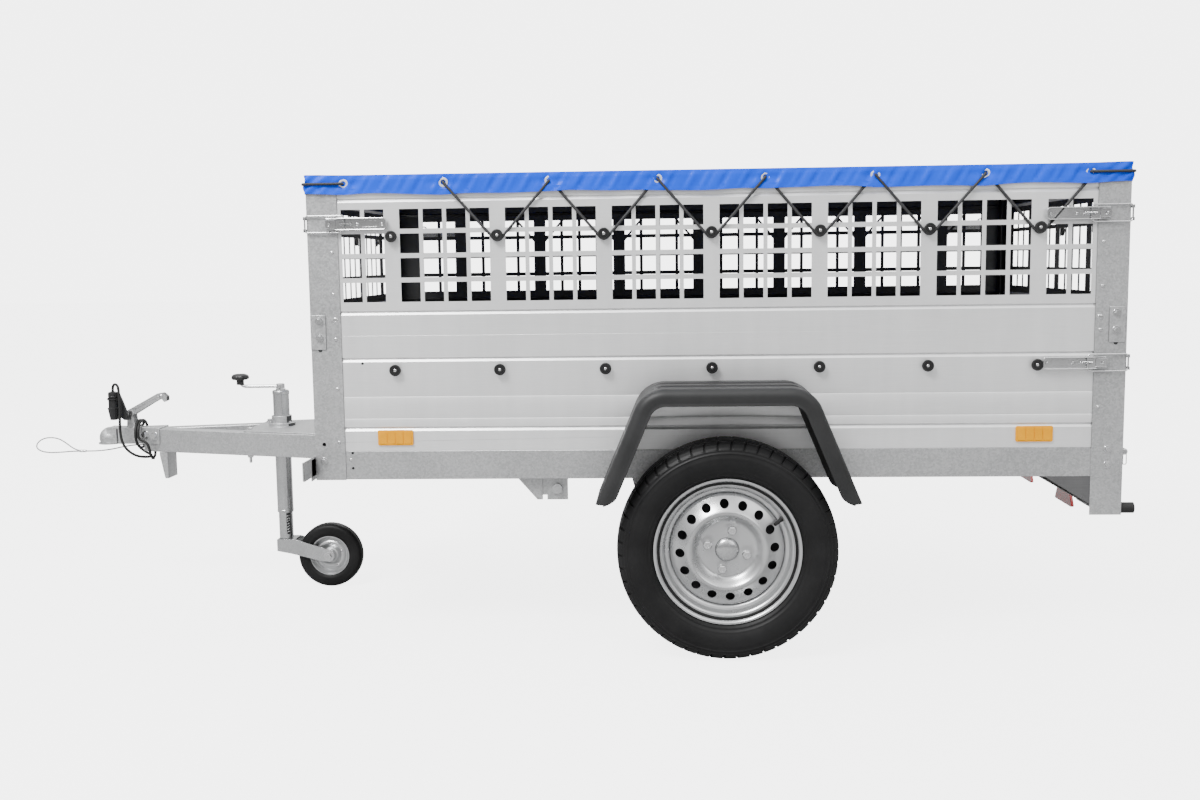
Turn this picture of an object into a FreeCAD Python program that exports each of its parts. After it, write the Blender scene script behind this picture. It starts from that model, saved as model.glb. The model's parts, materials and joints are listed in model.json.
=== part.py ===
import FreeCAD, Part
import math
import os

from FreeCAD import Vector

# Single-axle utility trailer: tipping load box with punched grille boards and a flat cover,
# V drawbar with ball coupling and a jockey-wheel jack, two road wheels, drop tailgate.
# Working frame: X = 0 at the middle of the load box and positive to the rear, Y = 0 on the
# centre line with the left side at -Y, Z = 0 on the ground. Every piece is moved along X on
# saving, so that the stored origin lies under the middle of the whole trailer.

# Load box
box_length = 2058.0          # front face of the front board to rear face of the tailgate
box_width = 1104.0           # over the side boards
board_thick = 20.0           # folded depth of every board
sheet = 2.0                  # wall of the folded boards
lip = 12.0                   # lip at the free edge of a board's fold
rail_bottom = 428.0          # underside of the side rails above the ground
rail_height = 75.0
rail_flange = 50.0
rail_wall = 3.0
lower_board = 300.0          # height of the plain boards
grille_board = 405.0         # height of the punched boards
floor_thick = 9.0
floor_gap = 1.0
run_gap = 5.0                # free air round the tailgate

# Grooves pressed along the boards, measured from each board's lower or upper edge
groove_depth = 5.0
groove_height = 11.0
groove_slope = 3.0           # height of the groove's lower slope
board_groove_low = 63.0
board_groove_inset = 57.0
swage_depth = 1.0
swage_half = 3.0
swage_low = 85.0
swage_step = 57.0
grille_groove_low = 64.0
grille_groove_inset = 54.0

# Punched field of the grille boards
hole = 50.0
bar_upright = 10.3
bar_level = 12.0
strip = 40.0                 # least solid strip between two groups of holes
knob_pitch_aim = 271.0       # about one strip, and one rope knob, in each pitch
side_knob_inset = 216.0      # outer knobs from the box's ends
end_knob_inset = 281.0       # and from its sides
edge_margin = 60.0           # least plain width at a board's end
field_margin = 8.0           # least plain height between a groove and the holes
field_lift = 2.3             # middle of the holes above the middle of the field

# Corner posts
post_wall = 2.5
post_side = 79.0
post_front = 58.0
post_stop = 38.0
post_joint_rise = 10.0       # joint between lower and upper posts above the boards' joint
front_post_drop = 1.0        # front posts end this far below the rails
rear_post_drop = 99.0
rear_post_reach = 5.0        # how far the rear posts cover past the tailgate
post_top_gap = 6.0
splice_width = 40.0
splice_height = 90.0
splice_thick = 3.0
splice_inset = 5.0
free_hole_r = 5.0
free_hole_board_r = 7.0      # the board behind the hole is cut wider
free_hole_inset = 24.0
free_hole_rise = 93.0        # above the rail's underside

# Cross members
cross_depth = 40.0
notch_half = 38.0
notch_gap = 6.0
mid_cross_x = 330.0

# V drawbar, its places measured back from the coupling's nose or from the box's front
drawbar_reach = 834.0        # coupling nose ahead of the front board
leg_height = 70.0
leg_width = 40.0
leg_wall = 3.0
leg_top_gap = 8.0            # drawbar top below the rail tops
leg_tip = 146.0              # behind the nose
leg_spread = 211.0           # behind the nose, where the legs are leg_spread_half wide
leg_spread_half = 36.0
leg_pivot_inset = 162.0      # legs' outer faces inside the box's side at the pivot
leg_end_past_pivot = 22.0
leg_solid = 62.0             # length behind the spread where the tips are welded solid
pivot_back = 627.0           # behind the front board
pivot_drop = 29.0            # below the rail's underside
pivot_tube_r = 16.0
pivot_bolt_r = 8.0
pivot_gap = 0.3
pivot_plate = 6.0
pivot_plate_low = 30.0
pivot_plate_half = 27.0
pivot_gusset = 66.0
pivot_gusset_tip = 14.0
pivot_slot = 12.0
pivot_head_r = 13.0
pivot_head_high = 11.0
gusset_thick = 4.0
gusset_front = 82.0          # gusset plate ahead of the jack
gusset_rear = 250.0          # and behind it
foot_drop = 82.0             # parking foot below the legs
foot_width = 40.0
foot_thick = 5.0

# Ball coupling
ball_r = 25.0
ball_gap = 0.4
cup_r = 33.0
cup_rise = 18.0              # ball's middle above the coupling's lower edge
cup_lip = 3.0                # bead round the lower edge of the cup
cup_lip_high = 4.0
coupling_rise = 23.0         # lower edge of the coupling above the legs' underside
coupling_wall = 4.0
coupling_rear = 204.0        # behind the nose
wing_front = 128.0
neck_front_half = 30.0
tower_front = 94.0           # lever's bearing on top, behind the nose
tower_rear = 122.0
tower_high = 52.0
tower_half = 15.0
lever_half = 11.0
lever_wall = 3.0
lever_deep = 22.0
lever_long = 104.0
lever_lean = 28.0            # degrees above the drawbar
lever_hook = 26.0
lever_pin_r = 5.0
lever_pin_drop = 8.0         # pin below the tower's top

# Jack with jockey wheel
jack_back = 573.0            # behind the nose
jack_r = 24.0
jack_bore_r = 21.3
jack_top_rise = 113.0        # above the drawbar's top
jack_drop = 193.0            # lower end below the drawbar's underside
inner_r = 21.0
inner_stand_out = 81.0       # inner tube below the outer one
inner_inside = 248.0         # length of the inner tube that stays in the outer one
jack_cap = 48.0              # solid head of the outer tube
jack_flange_r = 40.0
jack_flange_thick = 10.0
jack_collar_wall = 6.0
jack_collar_high = 32.0
crank_rise = 12.0
crank_reach = 124.0
crank_r = 5.0
crank_hub_r = 14.0
crank_hub_high = 8.0
crank_stem = 30.0
crank_knob_r = 27.0
crank_knob_high = 34.0
crank_knob_foot_r = 12.0
jockey_trail = 138.0
jockey_r = 98.0
jockey_width = 50.0
jockey_rim_r = 60.0
jockey_rim_lip = 8.0
jockey_hub_r = 17.0
jockey_axle_r = 6.0
jockey_fit = 0.1
fork_half = 33.0
fork_plate = 4.0
fork_deep = 36.0
fork_cap = 5.0
swivel_gap = 0.3

# Axle, wheels and mudguards
wheel_x = 30.5
tyre_r = 273.5
tyre_width = 157.0
tyre_gap = 30.0              # tyre to the corner post's plane
bead_r = 166.0
bead_half = 56.2             # tyre's foot between the rim's flanges
bead_gap = 0.3
wall_r = 224.0               # widest place of the sidewall
shoulder_drop = 9.0
shoulder_half = 68.0
crown_half = 54.0
rim_r = 182.0
rim_seat_gap = 0.5
rim_wall = 5.0
well_depth = 24.0
well_front = 26.0            # bead seat beside each flange
disc_wall = 5.0
vent_ring_r = 117.0
vent_r = 11.5
vents = 16
vent_turn = 93.5
crest_r = 96.0
crest_high = 22.0
bowl_r = 66.0
wheel_offset = 30.0          # mounting face outboard of the wheel's middle plane
centre_bore_r = 29.0
centre_fit = 1.0
hub_r = 64.0
hub_plate = 12.0
hub_drum_r = 36.0
hub_start = 39.5             # drum's inner end outboard of the posts' plane
cap_reach = 20.0
cap_r = 20.0
stub_r = 17.5
stub_fit = 0.1
axle_lead = 145.5            # axle beam ahead of the wheels
axle_drop = 41.0             # beam's middle below the rails
axle_side = 56.0
saddle_long = 180.0
saddle_foot = 9.0
saddle_waist = 80.0
arm_thick = 16.0
arm_gap = 3.0
arm_beam_r = 34.0
arm_wheel_r = 30.0
guard_width = 220.0
guard_wall = 4.0
guard_skirt = 45.0
guard_clear = 137.0          # roof above the tyre
guard_foot_z = 400.0
guard_foot_half = 325.0
guard_top_half = 206.0
guard_corner_r = 85.0

# Rear end
hinge_out = 13.0             # hinge pin behind the tailgate's face
hinge_drop = 14.0            # hinge pin below the rails' tops
hinge_pin_r = 5.0
hinge_fit = 0.1
knuckle_r = 8.5
hinge_inset = 33.0           # outer hinges inside the box's side
hinge_length = 24.0
lug = 10.0
lug_gap = 0.5
pin_stand_out = 3.0
leaf_high = 70.0
leaf_thick = 3.0
buffer_r = 14.0
buffer_long = 36.0
buffer_inset = 16.0          # inside the box's side
buffer_rise = 15.0           # middle above the rear posts' lower end
buffer_wall = 1.0            # carrier round the buffer
catch_half = 15.0
catch_reach = 9.0
catch_wide = 34.0
lamp_bar_deep = 30.0
lamp_bar_high = 60.0
lamp_bar_wall = 3.0
lamp_bar_drop = 88.0         # lamp bar's lower edge below the rails
lamp_width = 210.0
lamp_high = 80.0
lamp_deep = 34.0
lamp_inset = 152.0           # lamps' middles inside the box's side
triangle_side = 150.0
triangle_thick = 8.0
triangle_drop = 50.0
triangle_inset = 362.0
rear_gusset_long = 189.0
rear_gusset_drop = 72.0
rear_gusset_thick = 4.0
rear_gusset_foot = 8.0

# Cover, rope and fittings
cover_thick = 3.0
cover_skirt = 46.0
cover_gap = 1.5
seat_gap = 0.3
eyelet_drop = 22.0           # eyelets below the cover's top
eyelet_half_step = 135.0     # eyelets either side of every second knob
knob_head_r = 15.0
knob_head_thick = 6.0
knob_neck_r = 9.0
knob_neck_long = 10.0
upper_knob_drop = 152.0      # below the boards' upper edge
lower_knob_drop = 89.0
rope_r = 3.8
rope_gap = 0.2
latch_length = 153.0
latch_inset = 46.0           # handles' outer ends inside the box's ends
upper_latch_drop = 119.0
lower_latch_drop = 85.0
latch_high = 32.0
latch_deep = 16.0
latch_wall = 2.5
latch_end = 6.0
hoop_high = 42.0
hoop_wire_r = 2.5
hoop_reach = 6.0
hoop_inset = 20.0
reflector_wide = 94.0
reflector_high = 40.0
reflector_thick = 6.0
reflector_rise = 110.0       # middle above the rail's underside
front_reflector_inset = 210.0
rear_reflector_inset = 217.0
bracket_wide = 39.0
bracket_high = 55.0
bracket_rise = 3.0
bracket_thick = 2.5
bracket_lap = 12.0
front_reflector_r = 16.0
front_reflector_thick = 6.0

# Cable, plug and breakaway wire
cable_r = 4.0
coil_back = 123.5            # coil's front behind the nose
coil_wide = 21.5
coil_rise = 29.0             # coil's middle above the coupling's lower edge
coil_r = 42.3
plug_back = 66.0
plug_y = -36.3
plug_rise = 77.0             # plug's lower end above the coupling's lower edge
plug_tip_r = 11.5
plug_r = 17.5                # at its widest rim
plug_body_r = 14.5
plug_waist_r = 12.0
plug_rim_low = 34.0          # heights above the plug's lower end
plug_rim_top = 37.0
plug_waist_low = 61.0
plug_waist_top = 67.0
plug_high = 87.0
holder_half = 5.0            # plug holder: leaf and arm beside the plug
holder_rise = 76.0           # its arm above the coupling's lower edge
holder_high = 12.0
wire_r = 2.0
ferrule_r = 5.0
ferrule_long = 22.0

# Places worked out from the sizes above
half_length = box_length / 2
half_width = box_width / 2
rail_top = rail_bottom + rail_height
joint_z = rail_top + lower_board
boards_top = joint_z + grille_board
board_grooves = (board_groove_low, lower_board - board_groove_inset)
board_swages = (swage_low, swage_low + swage_step)
grille_grooves = (grille_groove_low, grille_board - grille_groove_inset)
gate_inner_x = half_length - board_thick
stop_x = gate_inner_x - run_gap
side_end_x = stop_x - post_wall
post_y = half_width + post_wall
post_joint = joint_z + post_joint_rise
front_post_x = -half_length - post_wall
rear_edge_x = half_length + rear_post_reach
rear_post_bottom = rail_bottom - rear_post_drop
nose_x = -half_length - drawbar_reach
leg_top = rail_top - leg_top_gap
leg_bottom = leg_top - leg_height
leg_tip_x = nose_x + leg_tip
leg_spread_x = nose_x + leg_spread
pivot_x = -half_length + pivot_back
pivot_z = rail_bottom - pivot_drop
leg_slope = (half_width - leg_pivot_inset - leg_spread_half) / (pivot_x - leg_spread_x)
coupling_low = leg_bottom + coupling_rise
coupling_top = leg_top + coupling_wall
cup_x = nose_x + cup_r + cup_lip
cup_z = coupling_low + cup_rise
jack_x = nose_x + jack_back
jack_top = leg_top + jack_top_rise
jack_bottom = leg_bottom - jack_drop
inner_bottom = jack_bottom - inner_stand_out
jockey_x = jack_x + jockey_trail
tyre_in = post_y + tyre_gap
tyre_mid = tyre_in + tyre_width / 2
wheel_z = tyre_r
rim_seat_r = bead_r - rim_seat_gap
hub_face = tyre_mid + wheel_offset
axle_x = wheel_x - axle_lead
axle_z = rail_bottom - axle_drop
guard_top = 2 * tyre_r + guard_clear
pitch_x = hole + bar_upright
pitch_z = hole + bar_level
cover_under = boards_top + seat_gap
cover_top = cover_under + cover_thick
cover_low = cover_under - cover_skirt
cover_x0 = front_post_x - cover_gap - cover_thick
cover_x1 = rear_edge_x + cover_gap + cover_thick
cover_y = post_y + cover_gap + cover_thick
eyelet_z = cover_top - eyelet_drop
gate_bottom = rail_top + run_gap
gate_top = joint_z - run_gap
hinge_x = half_length + hinge_out
hinge_z = rail_top - hinge_drop
hinge_at = (hinge_inset - half_width, 0.0, half_width - hinge_inset)
buffer_z = rear_post_bottom + buffer_rise
lamp_bar_z = rail_bottom - lamp_bar_drop
upper_knob_z = boards_top - upper_knob_drop
lower_knob_z = joint_z - lower_knob_drop
upper_latch_z = boards_top - upper_latch_drop
lower_latch_z = joint_z - lower_latch_drop
coil_x = nose_x + coil_back
coil_z = coupling_low + coil_rise
plug_x = nose_x + plug_back
plug_z = coupling_low + plug_rise
origin_x = (nose_x + rear_edge_x + buffer_long) / 2


def save(name, shape):
    moved = shape.copy()
    moved.translate(Vector(-origin_x, 0, 0))
    moved.exportStep("parts/" + name + ".step")


def group(shapes):
    return Part.makeCompound(list(shapes))


def join(shapes):
    first = shapes[0]
    return first.fuse(list(shapes[1:])).removeSplitter()


def block(low, high):
    size = Vector(*high) - Vector(*low)
    return Part.makeBox(size.x, size.y, size.z, Vector(*low))


def closed_face(corners):
    wire = Part.makePolygon([*corners, corners[0]])
    return Part.Face(wire)


def sheet_x(corners, start, end):
    face = closed_face([Vector(start, y, z) for y, z in corners])
    return face.extrude(Vector(end - start, 0, 0))


def sheet_y(corners, start, end):
    face = closed_face([Vector(x, start, z) for x, z in corners])
    return face.extrude(Vector(0, end - start, 0))


def sheet_z(corners, start, end):
    face = closed_face([Vector(x, y, start) for x, y in corners])
    return face.extrude(Vector(0, 0, end - start))


def rod(start, end, radius):
    along = Vector(*end) - Vector(*start)
    return Part.makeCylinder(radius, along.Length, Vector(*start), along)


def turned(corners, centre, axis):
    """Solid of revolution from (radius, place along the axis) corners."""
    face = closed_face([Vector(r, 0, a) for r, a in corners])
    solid = face.revolve(Vector(0, 0, 0), Vector(0, 0, 1), 360)
    solid.Placement = FreeCAD.Placement(
        Vector(*centre), FreeCAD.Rotation(Vector(0, 0, 1), Vector(*axis)))
    return solid


def both_sides(left):
    return [left, left.mirror(Vector(0, 0, 0), Vector(0, 1, 0))]


def right_of(left):
    return left.mirror(Vector(0, 0, 0), Vector(0, 1, 0))


# Folded boards, drawn along local X with the outer face at y = 0 and the fold towards +y

def groove(edge):
    return [(0, edge - groove_height), (groove_depth, edge - groove_slope), (0, edge)]


def swage(middle):
    return [(0, middle - swage_half), (swage_depth, middle), (0, middle + swage_half)]


def folded_edge(height, upward):
    lip_end = height + lip if upward else height - lip
    wall = height + sheet if upward else height - sheet
    return [(board_thick, height), (board_thick, lip_end),
            (board_thick - sheet, lip_end), (board_thick - sheet, wall)]


def plain_board(length, height, grooves, swages):
    marks = sorted([groove(g) for g in grooves] + [swage(s) for s in swages],
                   key=lambda mark: mark[0][1])
    front = [point for mark in marks for point in mark]
    back = [(y + sheet, z) for y, z in reversed(front)]
    top = folded_edge(height, False)
    bottom = list(reversed(folded_edge(0, True)))
    corners = [(0, 0), *front, (0, height), *top,
               (sheet, height - sheet), *back, (sheet, sheet), *bottom]
    return sheet_x(corners, -length / 2, length / 2)


def knob_places(length, inset):
    """Places of the rope knobs, and of the solid strips behind them, along one side."""
    span = length - 2 * inset
    gaps = max(1, round(span / knob_pitch_aim))
    return [span * (n / gaps - 0.5) for n in range(gaps + 1)]


def hole_starts(length, strips):
    """Left edges of the punched holes along one row, between and beyond the strips."""
    pitch = strips[1] - strips[0]
    columns = math.floor((pitch - strip + bar_upright) / pitch_x)
    group_width = columns * pitch_x - bar_upright
    starts = [x + (pitch - group_width) / 2 + n * pitch_x
              for x in strips[:-1] for n in range(columns)]
    end = strips[-1] + (pitch - group_width) / 2
    edge_columns = math.floor((length / 2 - edge_margin - end + bar_upright) / pitch_x)
    outer = [end + n * pitch_x for n in range(edge_columns)]
    return starts + outer + [-start - hole for start in outer]


def punched_field(length, low, high, strips):
    def frame(x0, x1, z0, z1):
        return Part.makePolygon([Vector(x0, 0, z0), Vector(x1, 0, z0), Vector(x1, 0, z1),
                                 Vector(x0, 0, z1), Vector(x0, 0, z0)])

    rows = math.floor((high - low - 2 * field_margin + bar_level) / pitch_z)
    bottom = (low + high) / 2 + field_lift - (rows * pitch_z - bar_level) / 2
    openings = [frame(x, x + hole, bottom + row * pitch_z, bottom + row * pitch_z + hole)
                for x in hole_starts(length, strips) for row in range(rows)]
    outline = frame(-length / 2, length / 2, low, high)
    return Part.Face([outline, *openings]).extrude(Vector(0, sheet, 0))


def punched_board(length, strips):
    low, high = grille_grooves
    field_low = low + sheet
    field_high = high - groove_height - sheet
    lower = [(0, 0), *groove(low), (0, field_low), (sheet, field_low),
             *[(y + sheet, z) for y, z in reversed(groove(low))], (sheet, sheet),
             *reversed(folded_edge(0, True))]
    upper = [(0, field_high), *groove(high), (0, grille_board), *folded_edge(grille_board, False),
             (sheet, grille_board - sheet),
             *[(y + sheet, z) for y, z in reversed(groove(high))], (sheet, field_high)]
    field = punched_field(length, field_low, field_high, strips)
    bands = [sheet_x(corners, -length / 2, length / 2) for corners in (lower, upper)]
    return join([field, *bands])


def on_side(piece, outward, low=0.0, along=0.0):
    """Stand a piece drawn in board coordinates on a side of the box."""
    turn, place = {
        "left": (0, (along, -half_width)),
        "right": (180, (along, half_width)),
        "front": (-90, (-half_length, along)),
        "rear": (90, (half_length, along)),
    }[outward]
    placed = piece.copy()
    placed.rotate(Vector(0, 0, 0), Vector(0, 0, 1), turn)
    placed.translate(Vector(*place, low))
    return placed


def make_boards():
    side_length = side_end_x + half_length
    side_middle = (side_end_x - half_length) / 2
    inner_width = box_width - 2 * board_thick
    side = plain_board(side_length, lower_board, board_grooves, board_swages)
    left = on_side(side, "left", rail_top, side_middle)
    hole_x = front_post_x + free_hole_inset
    left = left.cut(rod((hole_x, -half_width - 1, rail_bottom + free_hole_rise),
                        (hole_x, sheet - half_width + 1, rail_bottom + free_hole_rise),
                        free_hole_board_r))
    front = plain_board(inner_width, lower_board, board_grooves, board_swages)
    save("side_board_left", left)
    save("side_board_right", right_of(left))
    save("front_board", on_side(front, "front", rail_top))

    # The side field is punched about the middle of the box, the rear end is cut shorter.
    side_strips = knob_places(box_length, side_knob_inset)
    end_strips = knob_places(box_width, end_knob_inset)
    grille = punched_board(box_length, side_strips)
    cut = block((side_end_x, -1, -1), (half_length + 1, board_thick + 1, grille_board + 1))
    left = on_side(grille.cut(cut), "left", joint_z)
    save("grille_left", left)
    save("grille_right", right_of(left))
    save("grille_front", on_side(punched_board(inner_width, end_strips), "front", joint_z))
    save("grille_rear", on_side(punched_board(box_width, end_strips), "rear", joint_z))


def make_chassis():
    inner = rail_flange
    corners = [(-half_width, rail_bottom), (-half_width, rail_top),
               (inner - half_width, rail_top), (inner - half_width, rail_top - rail_wall),
               (rail_wall - half_width, rail_top - rail_wall),
               (rail_wall - half_width, rail_bottom + rail_wall),
               (inner - half_width, rail_bottom + rail_wall), (inner - half_width, rail_bottom)]
    save("side_rails", group(both_sides(sheet_x(corners, -half_length, half_length))))

    span = half_width - rail_flange

    def channel(x_web, towards):
        deep = x_web + towards * cross_depth
        wall = x_web + towards * rail_wall
        return sheet_y([(x_web, rail_bottom), (x_web, rail_top), (deep, rail_top),
                        (deep, rail_top - rail_wall), (wall, rail_top - rail_wall),
                        (wall, rail_bottom + rail_wall), (deep, rail_bottom + rail_wall),
                        (deep, rail_bottom)], -span, span)

    # The drawbar's legs pass through two notches that are open below.
    front = channel(-half_length, 1)
    for side in (-1, 1):
        middle = side * leg_centre(-half_length + cross_depth / 2)
        front = front.cut(block(
            (-half_length - 1, middle - notch_half, rail_bottom - 1),
            (-half_length + cross_depth + 1, middle + notch_half, leg_top + notch_gap - 1)))
    middle = [channel(x, 1) for x in (-mid_cross_x, mid_cross_x)]
    save("cross_members", group([front, *middle, channel(half_length, -1)]))

    edge = half_width - board_thick - floor_gap
    save("floor_panel", block((-half_length + board_thick + floor_gap, -edge, rail_top),
                              (side_end_x, edge, rail_top + floor_thick)))


def make_posts():
    def front_post(low, high):
        corners = [(front_post_x, -post_y), (front_post_x + post_side, -post_y),
                   (front_post_x + post_side, -half_width), (-half_length, -half_width),
                   (-half_length, post_front - post_y), (front_post_x, post_front - post_y)]
        return sheet_z(corners, low, high)

    def rear_post(low, high, stop_low):
        edge = rear_edge_x - post_side
        plate = sheet_z([(edge, -post_y), (rear_edge_x, -post_y), (rear_edge_x, -half_width),
                         (edge, -half_width)], low, high)
        stop = block((side_end_x, -half_width, stop_low), (stop_x, post_stop - half_width, high))
        return join([plate, stop])

    bracket_z = rail_bottom + bracket_rise
    bracket = block((front_post_x - bracket_thick, -post_y - bracket_wide, bracket_z),
                    (front_post_x, bracket_lap - post_y, bracket_z + bracket_high))
    hole_x = front_post_x + free_hole_inset
    hole_z = rail_bottom + free_hole_rise
    bore = rod((hole_x, -post_y - 1, hole_z), (hole_x, -half_width + 1, hole_z), free_hole_r)
    top = boards_top - post_top_gap
    lower = [join([front_post(rail_bottom - front_post_drop, post_joint).cut(bore), bracket]),
             rear_post(rear_post_bottom, post_joint, rail_top)]
    upper = [front_post(post_joint, top), rear_post(post_joint, top, post_joint)]
    save("lower_posts", group([piece for post in lower for piece in both_sides(post)]))
    save("upper_posts", group([piece for post in upper for piece in both_sides(post)]))

    def splice(x):
        return block((x, -post_y - splice_thick, post_joint - splice_height / 2),
                     (x + splice_width, -post_y, post_joint + splice_height / 2))

    places = (front_post_x, rear_edge_x - splice_inset - splice_width)
    save("post_splices", group([piece for x in places for piece in both_sides(splice(x))]))


def leg_outer(x):
    return leg_spread_half + leg_slope * (x - leg_spread_x)


def leg_offset():
    return leg_width * math.hypot(1, leg_slope)


def leg_centre(x):
    return leg_outer(x) - leg_offset() / 2


def make_drawbar():
    end = pivot_x + leg_end_past_pivot
    inner_zero = leg_spread_x + (leg_offset() - leg_spread_half) / leg_slope
    skew = leg_wall * math.hypot(1, leg_slope)
    outline = [(leg_tip_x, 0), (leg_tip_x, leg_outer(leg_tip_x)), (end, leg_outer(end)),
               (end, leg_outer(end) - leg_offset()), (inner_zero, 0)]
    solid_end = leg_spread_x + leg_solid
    hollow = [(solid_end, leg_outer(solid_end) - skew), (end + 1, leg_outer(end + 1) - skew),
              (end + 1, leg_outer(end + 1) - leg_offset() + skew),
              (solid_end, leg_outer(solid_end) - leg_offset() + skew)]
    right = sheet_z(outline, leg_bottom, leg_top).cut(
        sheet_z(hollow, leg_bottom + leg_wall, leg_top - leg_wall))
    save("drawbar_right", right)
    save("drawbar_left", right_of(right))

    # Pivot tube across the legs' ends, under them, with its saddles
    reach = half_width - rail_flange / 2 - pivot_plate / 2 - pivot_gap
    tube = rod((pivot_x, -reach, pivot_z), (pivot_x, reach, pivot_z), pivot_tube_r)
    bore = rod((pivot_x, -reach - 1, pivot_z), (pivot_x, reach + 1, pivot_z),
               pivot_bolt_r + stub_fit)
    saddles = []
    for side in (-1, 1):
        y = side * leg_centre(pivot_x)
        saddles.append(block((pivot_x - pivot_tube_r, y - leg_width / 2, pivot_z),
                             (pivot_x + pivot_tube_r, y + leg_width / 2, leg_bottom)))
    save("pivot_tube", join([tube, *saddles]).cut(bore))

    # Gusset plate on the legs, with the jack's flanged collar
    front_x = jack_x - gusset_front
    rear_x = jack_x + gusset_rear
    corners = [(front_x, leg_outer(front_x)), (rear_x, leg_outer(rear_x)),
               (rear_x, -leg_outer(rear_x)), (front_x, -leg_outer(front_x))]
    low = leg_top + gusset_thick
    plate = sheet_z(corners, leg_top, low)
    bore_r = jack_r + swivel_gap
    bore = rod((jack_x, 0, leg_top - 1), (jack_x, 0, low + 1), bore_r)
    collar_r = jack_r + jack_collar_wall
    collar = turned([(bore_r, low), (jack_flange_r, low), (jack_flange_r, low + jack_flange_thick),
                     (collar_r, low + jack_flange_thick), (collar_r, low + jack_collar_high),
                     (bore_r, low + jack_collar_high)], (jack_x, 0, 0), (0, 0, 1))
    save("drawbar_gusset", join([plate.cut(bore), collar]))

    # Parking foot: a flat strap bent to a U under the front of the legs
    half = leg_spread_half
    low = leg_bottom - foot_drop
    inner = half - foot_thick
    strap = [(-half, leg_bottom), (-half, low), (half, low), (half, leg_bottom),
             (inner, leg_bottom), (inner, low + foot_thick), (-inner, low + foot_thick),
             (-inner, leg_bottom)]
    save("parking_foot", sheet_x(strap, leg_spread_x - foot_width / 2,
                                 leg_spread_x + foot_width / 2))


def make_coupling():
    wing_x = nose_x + wing_front
    rear_x = nose_x + coupling_rear
    wing_half = leg_outer(wing_x) + coupling_wall
    rear_half = leg_outer(rear_x) + coupling_wall
    cup = Part.makeSphere(cup_r, Vector(cup_x, 0, cup_z))
    slab_r = cup_r + 1
    cup = cup.common(block((cup_x - slab_r, -slab_r, coupling_low),
                           (cup_x + slab_r, slab_r, coupling_top)))
    bead = rod((cup_x, 0, coupling_low), (cup_x, 0, coupling_low + cup_lip_high), cup_r + cup_lip)
    outline = [(cup_x, -neck_front_half), (wing_x, -wing_half), (rear_x, -rear_half),
               (rear_x, rear_half), (wing_x, wing_half), (cup_x, neck_front_half)]
    body = join([cup, bead, sheet_z(outline, coupling_low, coupling_top)])
    ball = Part.makeSphere(ball_r + ball_gap, Vector(cup_x, 0, cup_z))
    mouth = rod((cup_x, 0, coupling_low - 1), (cup_x, 0, cup_z), ball_r + ball_gap)
    hollow_x = cup_x + cup_r - coupling_wall
    hollow_half = neck_front_half - coupling_wall
    end_half = leg_outer(rear_x + 1)
    inner = [(hollow_x, -hollow_half), (wing_x, coupling_wall - wing_half),
             (rear_x + 1, -end_half), (rear_x + 1, end_half),
             (wing_x, wing_half - coupling_wall), (hollow_x, hollow_half)]
    body = body.cut([ball, mouth, sheet_z(inner, coupling_low - 1, leg_top)])

    # The solid cup in front and the hollow head behind it are two pieces, welded at one plane.
    nose_half = cup_r + cup_lip + 1
    nose_part = block((nose_x - 1, -nose_half, coupling_low - 1),
                      (hollow_x, nose_half, coupling_top + 1))
    save("coupling_cup", body.common(nose_part))

    # Two cheeks on top carry the lever's pin.
    x0 = nose_x + tower_front
    x1 = nose_x + tower_rear
    top = coupling_top + tower_high
    cheek = [(x0, coupling_top), (x0 + 4, top), (x1 - 8, top), (x1, coupling_top)]
    pin_x = (x0 + x1) / 2 - 2
    pin_z = top - lever_pin_drop
    bore = rod((pin_x, -tower_half - 1, pin_z), (pin_x, tower_half + 1, pin_z),
               lever_pin_r + swivel_gap)
    wall = tower_half - lever_half - 1
    cheeks = [sheet_y(cheek, -tower_half, wall - tower_half),
              sheet_y(cheek, tower_half - wall, tower_half)]
    save("coupling_head", join([body.cut(nose_part), *cheeks]).cut(bore))

    # Lever: a channel open below, with a hooked end, leaning back over the drawbar
    def tilted(corners, y0, y1):
        flat = sheet_y(corners, y0, y1)
        flat.rotate(Vector(0, 0, 0), Vector(0, 1, 0), -lever_lean)
        flat.translate(Vector(pin_x, 0, pin_z))
        return flat

    deep = lever_deep / 2
    hook_x = lever_long + lever_hook * 0.6
    profile = [(-deep, -deep), (-deep, deep - 4), (-deep + 6, deep), (lever_long, deep),
               (hook_x, deep - 6), (hook_x + 6, -deep), (hook_x, -lever_hook + 4),
               (hook_x - 10, -lever_hook + 4), (hook_x - 12, -deep), (lever_long - 8, -deep + 4),
               (deep, -deep)]
    pocket = [(-deep - 1, -deep - 1), (-deep - 1, deep - lever_wall - 4),
              (-deep + 6, deep - lever_wall), (lever_long, deep - lever_wall),
              (lever_long, -deep - 1)]
    inside = lever_half - lever_wall
    lever = tilted(profile, -lever_half, lever_half).cut(tilted(pocket, -inside, inside))
    pin = rod((pin_x, -tower_half - 2, pin_z), (pin_x, tower_half + 2, pin_z), lever_pin_r)
    save("coupling_lever", join([lever, pin]))


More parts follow.
